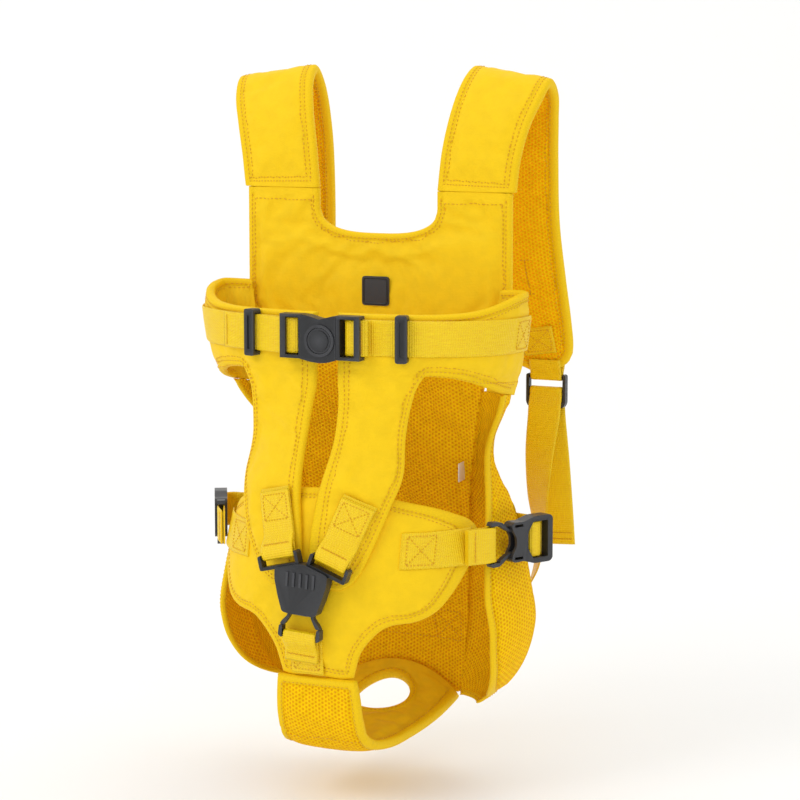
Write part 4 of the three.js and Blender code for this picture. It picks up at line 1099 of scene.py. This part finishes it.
def fold_route(bar, bend, inner, outer, count=8):
    """Webbing folded round a bar, in the buckle's frame."""
    turn = []
    for degrees in steps(90, -90, count):
        angle = math.radians(degrees)
        turn.append((bar[0] + bend * FOLD_GAP * math.cos(angle), bar[1] + FOLD_GAP * math.sin(angle)))
    return inner[::-1] + turn + outer


def folded(place, up, route, width=WEBBING):
    return [flat_stop(place(x, y), up, width) for x, y in route]


def upright(points, middle):
    """Stops of webbing that stands upright: each point is a function of its height."""
    return [tuple(point(middle + u * WEBBING / 2) for u in (-1, 0, 1)) for point in points]


SIDE_TURN = math.radians(62)
SIDE_FRAME = placed(Vector((140.2, -57.9, SIDE_STRAP_Z)),
                    Vector((math.cos(SIDE_TURN), math.sin(SIDE_TURN), 0)),
                    Vector((-math.sin(SIDE_TURN), math.cos(SIDE_TURN), 0)))


def make_side_webbing(sizes):
    wing = [tuple(front(x, SIDE_STRAP_Z + u * 15, WALL + 1.7) for u in (-1, 0, 1))
            for x in (69, 76, 84, 92, 100, 106, 111)]
    loop = folded(SIDE_FRAME, UP, fold_route(
        (BAR_X, 0), 1, [(BAR_X - 26, FOLD_GAP)],
        [(BAR_X - 8, -FOLD_GAP), (BAR_X - 14, -1.4), (BAR_X - 26, 0.3)]))

    def at_socket(x, y):
        return lambda z: Vector((*SIDE_FRAME(x, y)[:2], z))

    def at_wall(degrees):
        return lambda z: pouch(degrees, z, WALL + 1.4)
    anchor = upright([at_socket(*p) for p in (
        (12.3, 3.8), (11.2, 2.6), (11.2, -1.1), (12.6, -2.6), (20.4, -2.6), (22.4, -0.9), (24.5, 2.4),
        (28, 3.9), (34, 5.4), (36, 12), (33, 19))] + [at_wall(d) for d in (101, 108, 116, 125, 134)],
        SIDE_STRAP_Z)
    for name, side in SIDES:
        sewn = hung("wing_strap_" + name, mirrored(wing, side), "vest", ["wing_webbing_" + name])
        for face in (1, -1):
            sewn.box_stitch(5, 29, face)
        made = hung("plug_strap_" + name, mirrored(loop, side), "side_plug_" + name,
                    ["side_plug_loop_" + name])
        for face in (1, -1):
            made.bartack(made.length - 6, face)
        held = hung("anchor_strap_" + name, mirrored(anchor, side), "vest",
                    ["side_anchor_webbing_" + name])
        for face in (1, -1):
            held.box_stitch(held.length - 24, held.length - 4, face)


CHEST_Y = -143.2
CHEST_BAR = (23.8, 0.9)


def make_chest_webbing(sizes):
    first, lying = PAD + 2.6, PAD + 1.4
    second = first + WEBBING_THICK + 0.6

    def on_band(degrees, out):
        return lambda z: pouch(degrees, z, out)

    def straight(degrees, out):
        place = pouch(degrees, BAND_Z, out)
        return lambda z: Vector((place.x, place.y, z))

    def at_buckle(x, y):
        return lambda z: Vector((x, CHEST_Y + y, z))
    round_band = (96, 88, 80, 72, 64, 56, 48, 41)
    right = [on_band(d, first) for d in round_band] + [straight(d, first) for d in (34, 28, 24, 20)]
    right += [straight(14, lying), straight(9, lying)]
    left = [on_band(-d, first) for d in round_band] + [straight(-d, first) for d in (34, 28, 24, 20.5)]
    left += [straight(-16, first + 0.8)]
    turn = fold_route((-CHEST_BAR[0], CHEST_BAR[1]), 1, [(-37, CHEST_BAR[1] + FOLD_GAP)],
                      [(-37, CHEST_BAR[1] - FOLD_GAP)])
    left += [at_buckle(*p) for p in turn]
    left += [straight(-16, second + 2.2), straight(-20.5, second + 0.4)]
    left += [straight(-d, second) for d in (24, 29, 34, 39)]
    for name, points in (("right", right), ("left", left)):
        made = hung("chest_strap_" + name, upright(points, BAND_Z), "vest", ["chest_webbing_" + name])
        for face in (1, -1):
            made.box_stitch(4, 24, face)
            made.bartack(made.length - 4, face)
    bar_x, bar_y = CHEST_BAR
    far = bar_x + 17
    place = placed(Vector((0, CHEST_Y, BAND_Z)), Vector((1, 0, 0)), Vector((0, 1, 0)))
    loop = fold_route((bar_x, bar_y), -1, [(far, bar_y + FOLD_GAP)],
                      [(far - 8, bar_y - FOLD_GAP), (far, bar_y + FOLD_GAP - 2.1)])
    made = hung("tongue_strap", folded(place, UP, loop), "chest_tongue", ["chest_tongue_loop"])
    for face in (1, -1):
        made.bartack(made.length - 4, face)


TILT = math.radians(4)
THREE_UP = Vector((math.sin(TILT), 0, math.cos(TILT)))
THREE_RIGHT = Vector((math.cos(TILT), 0, -math.sin(TILT)))
THREE_CENTRE = Vector((-6, -169.5, -415))


def make_crotch_webbing(sizes):
    start = THREE_CENTRE + THREE_UP * -6
    plug = placed(start, THREE_UP, Vector((0, 1, 0)))
    far = BAR_X - 24
    loop = fold_route((BAR_X, 0), 1, [(BAR_X - 6, FOLD_GAP + 0.4), (BAR_X - 13, 5.4), (far, 7.1)],
                      [(BAR_X - 6, 0.4 - FOLD_GAP), (BAR_X - 13, 3), (far, 5)])
    made = hung("crotch_plug_strap", folded(plug, -THREE_RIGHT, loop), "crotch_plug",
                ["crotch_plug_loop"])
    for face in (1, -1):
        made.bartack(made.length - 5, face)
    tab = [tuple(front(-7 + u * 15, z, WALL + 1.4) for u in (-1, 0, 1)) for z in steps(-485, -455, 6)]
    made = hung("crotch_tab_strap", tab, "vest", ["crotch_tab"])
    for face in (1, -1):
        made.box_stitch(4, 26, face)
    for name, side in SIDES:
        slant = math.radians(17 * side) + TILT
        lean = math.radians(17 * side)
        frame_up = THREE_UP * math.cos(lean) + THREE_RIGHT * math.sin(lean)
        bar = THREE_CENTRE + THREE_RIGHT * 22.5 * side + THREE_UP * 25 + frame_up * 4.2
        right = Vector((math.cos(slant), 0, -math.sin(slant)))
        up = Vector((math.sin(slant), 0, math.cos(slant)))
        route = [(d, -FOLD_GAP, 0) for d in (54, 44, 36, 28, 20, 15, 10, 5)]
        for degrees in steps(-90, 90, 8):
            angle = math.radians(degrees)
            route.append((-FOLD_GAP * math.cos(angle), FOLD_GAP * math.sin(angle), 0))
        route += [(d, FOLD_GAP, 1) for d in (5, 10, 15, 20, 28, 36, 44, 52)]
        stops = []
        for far, out, layer in route:
            rails = []
            for u in (-1, 0, 1):
                place = bar + up * far + right * u * WEBBING / 2
                skin = BELT_OUT(place.z) + BELT_PAD(place.z) + 0.6
                skin += WEBBING_THICK * 1.5 + 0.3 if layer else WEBBING_THICK / 2
                share = eased(clamp((far - 5) / 13))
                place.y = mix(bar.y - out, front(place.x, place.z, skin).y, share)
                rails.append(place)
            stops.append(tuple(rails))
        made = hung("flap_tab_strap_" + name, stops, "vest", ["flap_tab_" + name])
        for face in (1, -1):
            made.box_stitch(made.length - 22, made.length - 3, face)
            made.bartack(made.length - 40, face, 0.8)


LOCK = Vector((122.5, 52, -266.5))


def make_shoulder_webbing(sizes):
    on_strip = PANEL / 2 + 3.5
    over = []
    for degrees in steps(0, 180, 8):
        angle = math.radians(degrees)
        over.append(LOCK + Vector((0, math.cos(angle), math.sin(angle))) * FOLD_GAP)
    run = [LOCK + Vector(v) for v in ((0, -FOLD_GAP, -4), (0, -4.8, -12), (-0.5, -5.4, -22))]
    run += [Vector(v) for v in ((120, 42, -320), (122, 34, -355), (126.5, 27, -388), (125, 21.5, -418),
                                (112, 22, -443), (94, 21, -462))]
    run += [panel(x, ANCHOR_Z, on_strip) for x in (72, 62, 51)]
    widths = [(1, 0, 0)] * (len(over) + 3) + [
        (0.97, -0.24, 0.03), (0.85, -0.52, 0.06), (0.62, -0.78, 0.1), (0.5, -0.72, 0.48),
        (0.56, -0.32, 0.76), (0.45, -0.1, 0.88), (0.1, 0, 1), (0, 0, 1), (0, 0, 1)]

    def ribbon(points, sides):
        stops = []
        for i, p in enumerate(points):
            along = (points[min(i + 1, len(points) - 1)] - points[max(i - 1, 0)]).normalized()
            side = Vector(sides[i])
            stops.append(flat_stop(p, side - along * side.dot(along)))
        return stops
    main = ribbon(over + run, widths)
    tail = [LOCK + Vector(v) for v in ((0, FOLD_GAP, -0.6), (0, FOLD_GAP, -4), (0, 4.8, -12),
                                       (0.5, 6, -25), (3, 10, -63.5), (6, 14, -118.5),
                                       (7, 15, -138.5))]
    tail = ribbon(tail, [(1, 0, 0)] * len(tail))
    lock = placed(LOCK, UP, Vector((0, 1, 0)))
    ring = fold_route((11.6, 0), -1, [(15.2, FOLD_GAP), (20, 4.9), (27, 5.9)],
                      [(15.2, -FOLD_GAP), (20, -4.9), (27, -5.9)])
    ring = folded(lock, Vector((-1, 0, 0)), ring, WEBBING - 1)
    for name, side in SIDES:
        made = hung("shoulder_strap_web_" + name, mirrored(main, side), "vest",
                    ["shoulder_webbing_" + name])
        for face in (1, -1):
            made.box_stitch(made.length - 22, made.length - 3, face)
        made = hung("tail_strap_" + name, mirrored(tail, side), "webbing_tail_" + name,
                    ["webbing_tail_" + name])
        for face in (1, -1):
            for along in (5, 11):
                made.bartack(made.length - along, face)
        hung("lock_strap_" + name, mirrored(ring, side), "vest", ["lock_loop_" + name],
             width=WEBBING - 1, spacing=1.2)
    strip = [tuple(panel(x, ANCHOR_Z + u * 15, PANEL / 2 + 1.35) for u in (-1, 0, 1))
             for x in steps(-64, 64, 24)]
    made = hung("rear_strip_strap", strip, "vest", ["rear_anchor_strip"])
    for face in (1, -1):
        made.box_stitch(18, 110, face, cross=False)


# ---- Label and badge ----
def make_label(sizes):
    low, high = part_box("care_label")
    low, high = Vector(low) / MM, Vector(high) / MM
    middle = (low.x + high.x) / 2
    stops = []
    for out, shift in ((0, -0.5), (0.35, -0.25), (0.7, 0.3), (1, 0.2), (1.04, 0), (1, -0.2), (0.7, -0.3),
                       (0.35, -0.7), (0.02, -0.9)):
        point = Vector((middle + shift, mix(high.y, low.y, min(out, 1)), (low.z + high.z) / 2))
        stops.append(flat_stop(point, UP, high.z - low.z))
    made = hung("label_fold", stops, "vest", ["care_label"], width=high.z - low.z, thick=0.3,
                spacing=1.0)
    made.obj.data.materials.clear()
    made.obj.data.materials.append(MATERIALS["label"])


CORNER = 2.4    # radius of the badge's corners


def make_badge(sizes):
    low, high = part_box("badge")
    low, high = Vector(low) / MM, Vector(high) / MM
    centre = (low + high) / 2
    half = (high.x - low.x) / 2 - 1.6
    positions, faces = [], []
    section = [(-0.9, 0.0), (-0.75, 0.45), (-0.3, 0.7), (0.3, 0.7), (0.75, 0.45), (0.9, 0.0)]
    corners = []
    for k in range(4):
        for j in range(6):
            turn = math.pi / 2 * k + math.pi / 2 * j / 5
            sx, sz = ((1, 1), (-1, 1), (-1, -1), (1, -1))[k]
            corners.append((sx * (half - CORNER), sz * (half - CORNER), turn))
    for x, z, turn in corners:
        for reach, rise in section:
            radius = CORNER + reach
            positions.append(Vector((centre.x + x + radius * math.cos(turn), low.y + 0.25 - rise,
                                     centre.z + z + radius * math.sin(turn))))
    size, count = len(section), len(corners)
    for i in range(count):
        n = (i + 1) % count
        for k in range(size):
            m = (k + 1) % size
            faces.append((i * size + k, n * size + k, n * size + m, i * size + m))
    rim = new_object("badge_rim", [p * MM for p in positions], faces, MATERIALS["rubber"])
    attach(rim, "vest")
    dress("badge", "rubber", 0.5)


# ---- Moulded pieces ----
PLASTIC_NODES = (
    "chest_buckle_housing", "chest_buckle_button", "chest_buckle_tongue", "chest_keeper_right",
    "chest_keeper_left", "three_way_buckle", "crotch_plug", "crotch_plug_left_prong",
    "crotch_plug_right_prong", "ladder_lock_right", "ladder_lock_left")
SIDE_PLASTIC = ("side_buckle_plug", "side_buckle_upper_prong", "side_buckle_lower_prong",
                "side_buckle_socket")
PLASTIC_EDGE = 0.45


def dress(name, material, width):
    """Gives a fixed solid its finish and softens its edges."""
    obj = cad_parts[name]
    obj.data.materials.clear()
    obj.data.materials.append(MATERIALS[material])
    bevel = obj.modifiers.new("soft_edges", "BEVEL")
    bevel.width = width * MM
    bevel.segments = 3
    bevel.limit_method = "ANGLE"
    bevel.angle_limit = math.radians(35)
    bevel.harden_normals = True
    for polygon in obj.data.polygons:
        polygon.use_smooth = True


def make_plastics(sizes):
    for name in PLASTIC_NODES:
        dress(name, "plastic", PLASTIC_EDGE)
    for stem in SIDE_PLASTIC:
        for name, _ in SIDES:
            dress(stem + "_" + name, "plastic", PLASTIC_EDGE)


# ---- Stage ----
FLOOR_Z = -0.602
VIEW = (24.0, 8.0)
TARGET = Vector((0.0059, 0.0, -0.2755))
DISTANCE = 2.32
LENS, SENSOR = 120, 36


def make_stage(sizes):
    scene = bpy.context.scene
    scene.view_settings.view_transform = "Standard"
    positions, faces = [], []
    rows = [(-3.0, 0.0), (1.2, 0.0)]
    rows += [(1.2 + 1.0 * math.sin(a), 1.0 - 1.0 * math.cos(a)) for a in steps(0.1, math.pi / 2, 14)]
    rows += [(2.2, 4.0)]
    for y, z in rows:
        positions += [(-5, y, FLOOR_Z + z), (5, y, FLOOR_Z + z)]
    for i in range(len(rows) - 1):
        faces.append((2 * i, 2 * i + 1, 2 * i + 3, 2 * i + 2))
    material, _, shader = surface("seamless_paper", 0.9)
    shader.inputs["Base Color"].default_value = linear("#FBFBFA")
    sweep = new_object("studio_sweep", positions, faces, material)
    sweep.rotation_euler = (0, 0, math.radians(VIEW[0]))
    world = bpy.data.worlds.new("studio_air")
    scene.world = world
    world.use_nodes = True
    world.node_tree.nodes["Background"].inputs["Color"].default_value = linear("#FFFFFF")
    world.node_tree.nodes["Background"].inputs["Strength"].default_value = 0.9
    for name, place, size, power in (
            ("key_light", (-1.2, -2.0, 1.6), 1.2, 17), ("fill_light", (2.3, -1.5, 0.2), 2.0, 2),
            ("top_light", (0.2, 0.6, 2.0), 1.2, 6)):
        light = bpy.data.lights.new(name, "AREA")
        light.size, light.energy = size, power
        lamp = bpy.data.objects.new(name, light)
        lamp.location = place
        lamp.rotation_euler = (TARGET - Vector(place)).to_track_quat("-Z", "Y").to_euler()
        scene.collection.objects.link(lamp)
    azimuth, elevation = (math.radians(v) for v in VIEW)
    away = Vector((math.sin(azimuth) * math.cos(elevation), -math.cos(azimuth) * math.cos(elevation),
                   math.sin(elevation)))
    lens = bpy.data.cameras.new("camera")
    lens.lens, lens.sensor_width = LENS, SENSOR
    camera = bpy.data.objects.new("camera", lens)
    camera.location = TARGET + away * DISTANCE
    camera.rotation_euler = away.to_track_quat("Z", "Y").to_euler()
    scene.collection.objects.link(camera)
    scene.camera = camera


def shade(colour, share=1.0):
    """A sidebar colour as the shader wants it, made deeper by a share."""
    return [c * share for c in colour] + [1.0]


def make_materials(colours):
    cloth, mesh, webbing = colours.cloth, colours.mesh, colours.webbing
    plastic = shade(colours.plastic)
    MATERIALS.update({
        "cloth": nylon_cloth("woven_nylon_face", shade(cloth), shade(cloth, 0.94)),
        # The strap's back face: the same mesh with its painted eyelet shade made 1.2 times lighter, a
        # lit copy.
        "strap_mesh": spacer_mesh("knitted_spacer_mesh_lighter_eyelet_shade", shade(mesh), shade(colours.eyelet_shade, 1.2)),
        # Painted shade: the lining is the cloth colour made deeper, for the inner faces.
        "lining": nylon_cloth("woven_nylon_lining_painted_shade", shade(cloth, 0.95), shade(cloth, 0.86)),
        # Mesh with its painted eyelet shade at full depth.
        "mesh": spacer_mesh("knitted_spacer_mesh", shade(mesh), shade(colours.eyelet_shade)),
        # Webbing: painted sheen streaks from the webbing colour down to the painted webbing shade.
        "webbing": strap_webbing("woven_polyester_webbing", shade(webbing), shade(colours.webbing_sheen_shade)),
        # Painted shade: the tape runs deeper than the cloth, for the shade along the rolled edges.
        "tape": binding_tape("folded_binding_tape", shade(cloth), shade(cloth, 0.88)),
        "deep": sewing_thread("twisted_polyester_thread", shade(colours.thread)),
        # Both moulded finishes carry the painted edge highlight of moulded_acetal().
        "plastic": moulded_acetal("moulded_acetal_satin", plastic, shade(colours.plastic, 0.8)),
        "rubber": moulded_acetal("moulded_rubber_matt", shade(colours.plastic, 0.7),
                                 shade(colours.plastic, 0.55)),
        "label": label_tape("satin_label_tape", linear("#F2F0EA")),
    })


# ---- Sidebar tools ----
def make_thread(sizes):
    for body in sorted(STITCHES):
        sew_threads("stitching_" + body, MATERIALS["deep"], body, sizes.thread_width / MM)


class VestSizes(bpy.types.PropertyGroup):
    """Sizes of the sewn work."""
    pressure: bpy.props.FloatProperty(
        name="Padding pressure", description="How firmly the foam swells the cloth between its seams",
        default=3.0, min=0.0, max=10.0)
    thread_width: bpy.props.FloatProperty(
        name="Thread width", description="Half the width of one stitch",
        default=0.00042, min=0.0001, max=0.002, unit="LENGTH", subtype="DISTANCE", precision=5)


def colour_setting(name, description, value):
    return bpy.props.FloatVectorProperty(name=name, description=description, subtype="COLOR",
                                         default=linear(value)[:3], min=0.0, max=1.0, size=3)


class VestColours(bpy.types.PropertyGroup):
    """Colours of the vest's materials."""
    cloth: colour_setting("Cloth", "Colour of the woven nylon", "#F7CC00")
    mesh: colour_setting("Mesh", "Colour of the spacer mesh", "#FFCE00")
    webbing: colour_setting("Webbing", "Colour of the webbing", "#F6D200")
    # Painted shade: the deeper colour drawn inside the mesh's eyelets.
    eyelet_shade: colour_setting("Eyelets", "Colour inside the eyelets of the mesh", "#EFA400")
    # Painted shade: the dark end of the sheen streaks painted along the webbing.
    webbing_sheen_shade: colour_setting("Webbing shade", "Colour of the webbing's duller threads", "#EAB800")
    thread: colour_setting("Thread", "Colour of the stitching", "#DFA600")
    plastic: colour_setting("Plastic", "Colour of the buckles", "#1F2023")


class VestOperator:
    """What every step of the vest has in common."""
    bl_options = {"REGISTER", "UNDO"}

    def execute(self, context):
        if not MATERIALS:
            make_materials(context.scene.vest_colours)
        type(self).maker(context.scene.vest_sizes)
        return {"FINISHED"}


def operator(word, label, maker, about):
    """One step of the vest, as an operator of its own."""
    return type("VEST_OT_" + word, (VestOperator, bpy.types.Operator), {
        "__doc__": about, "bl_idname": "vest." + word, "bl_label": label, "maker": maker})


OPERATORS = tuple(operator(*row) for row in (
    ("yoke", "Chest yoke", make_yoke,
     "Cuts, pads and stitches the chest yoke"),
    ("straps", "Shoulder straps", make_straps,
     "Cuts, pads and stitches both shoulder straps"),
    ("back", "Back panel", make_back,
     "Cuts and pads the mesh back panel"),
    ("walls", "Side walls", make_walls,
     "Cuts the two mesh side walls and binds their free edges"),
    ("flaps", "Chest flaps", make_flaps,
     "Cuts, pads and stitches the two chest flaps"),
    ("crotch", "Crotch panel", make_crotch,
     "Cuts, pads and stitches the crotch panel with its wings"),
    ("seat", "Seat", make_seat,
     "Cuts and pads the seat round its opening"),
    ("chest_webbing", "Chest webbing", make_chest_webbing,
     "Lays the chest webbing through its buckle and keepers"),
    ("side_webbing", "Side webbing", make_side_webbing,
     "Lays the webbing of both side buckles"),
    ("crotch_webbing", "Crotch webbing", make_crotch_webbing,
     "Lays the webbing of the three-way buckle"),
    ("shoulder_webbing", "Shoulder webbing", make_shoulder_webbing,
     "Lays the adjusting webbing behind both shoulders"),
    ("label", "Care label", make_label,
     "Folds the plain label in the side seam"),
    ("badge", "Badge", make_badge,
     "Finishes the blank badge and its rim"),
    ("plastics", "Buckles", make_plastics,
     "Finishes the moulded pieces"),
    ("thread", "Thread", make_thread,
     "Turns the marked stitches into thread"),
    ("stage", "Stage", make_stage,
     "Sets the backdrop, the lights and the camera"),
))


class VestPanel(bpy.types.Panel):
    """Sizes, colours and steps of the vest."""
    bl_idname = "VIEW3D_PT_vest"
    bl_label = "Front carrier vest"
    bl_space_type = "VIEW_3D"
    bl_region_type = "UI"
    bl_category = "Vest"

    def draw(self, context):
        for group in (context.scene.vest_sizes, context.scene.vest_colours):
            for name in type(group).__annotations__:
                self.layout.prop(group, name)
        for step in OPERATORS:
            self.layout.operator(step.bl_idname)


CLASSES = (VestSizes, VestColours) + OPERATORS + (VestPanel,)


def register():
    for item in CLASSES:
        bpy.utils.register_class(item)
    bpy.types.Scene.vest_sizes = bpy.props.PointerProperty(type=VestSizes)
    bpy.types.Scene.vest_colours = bpy.props.PointerProperty(type=VestColours)


def unregister():
    del bpy.types.Scene.vest_colours
    del bpy.types.Scene.vest_sizes
    for item in reversed(CLASSES):
        bpy.utils.unregister_class(item)


def main():
    register()
    for step in OPERATORS:
        group, name = step.bl_idname.split(".")
        getattr(getattr(bpy.ops, group), name)()


if __name__ == "__main__":
    main()
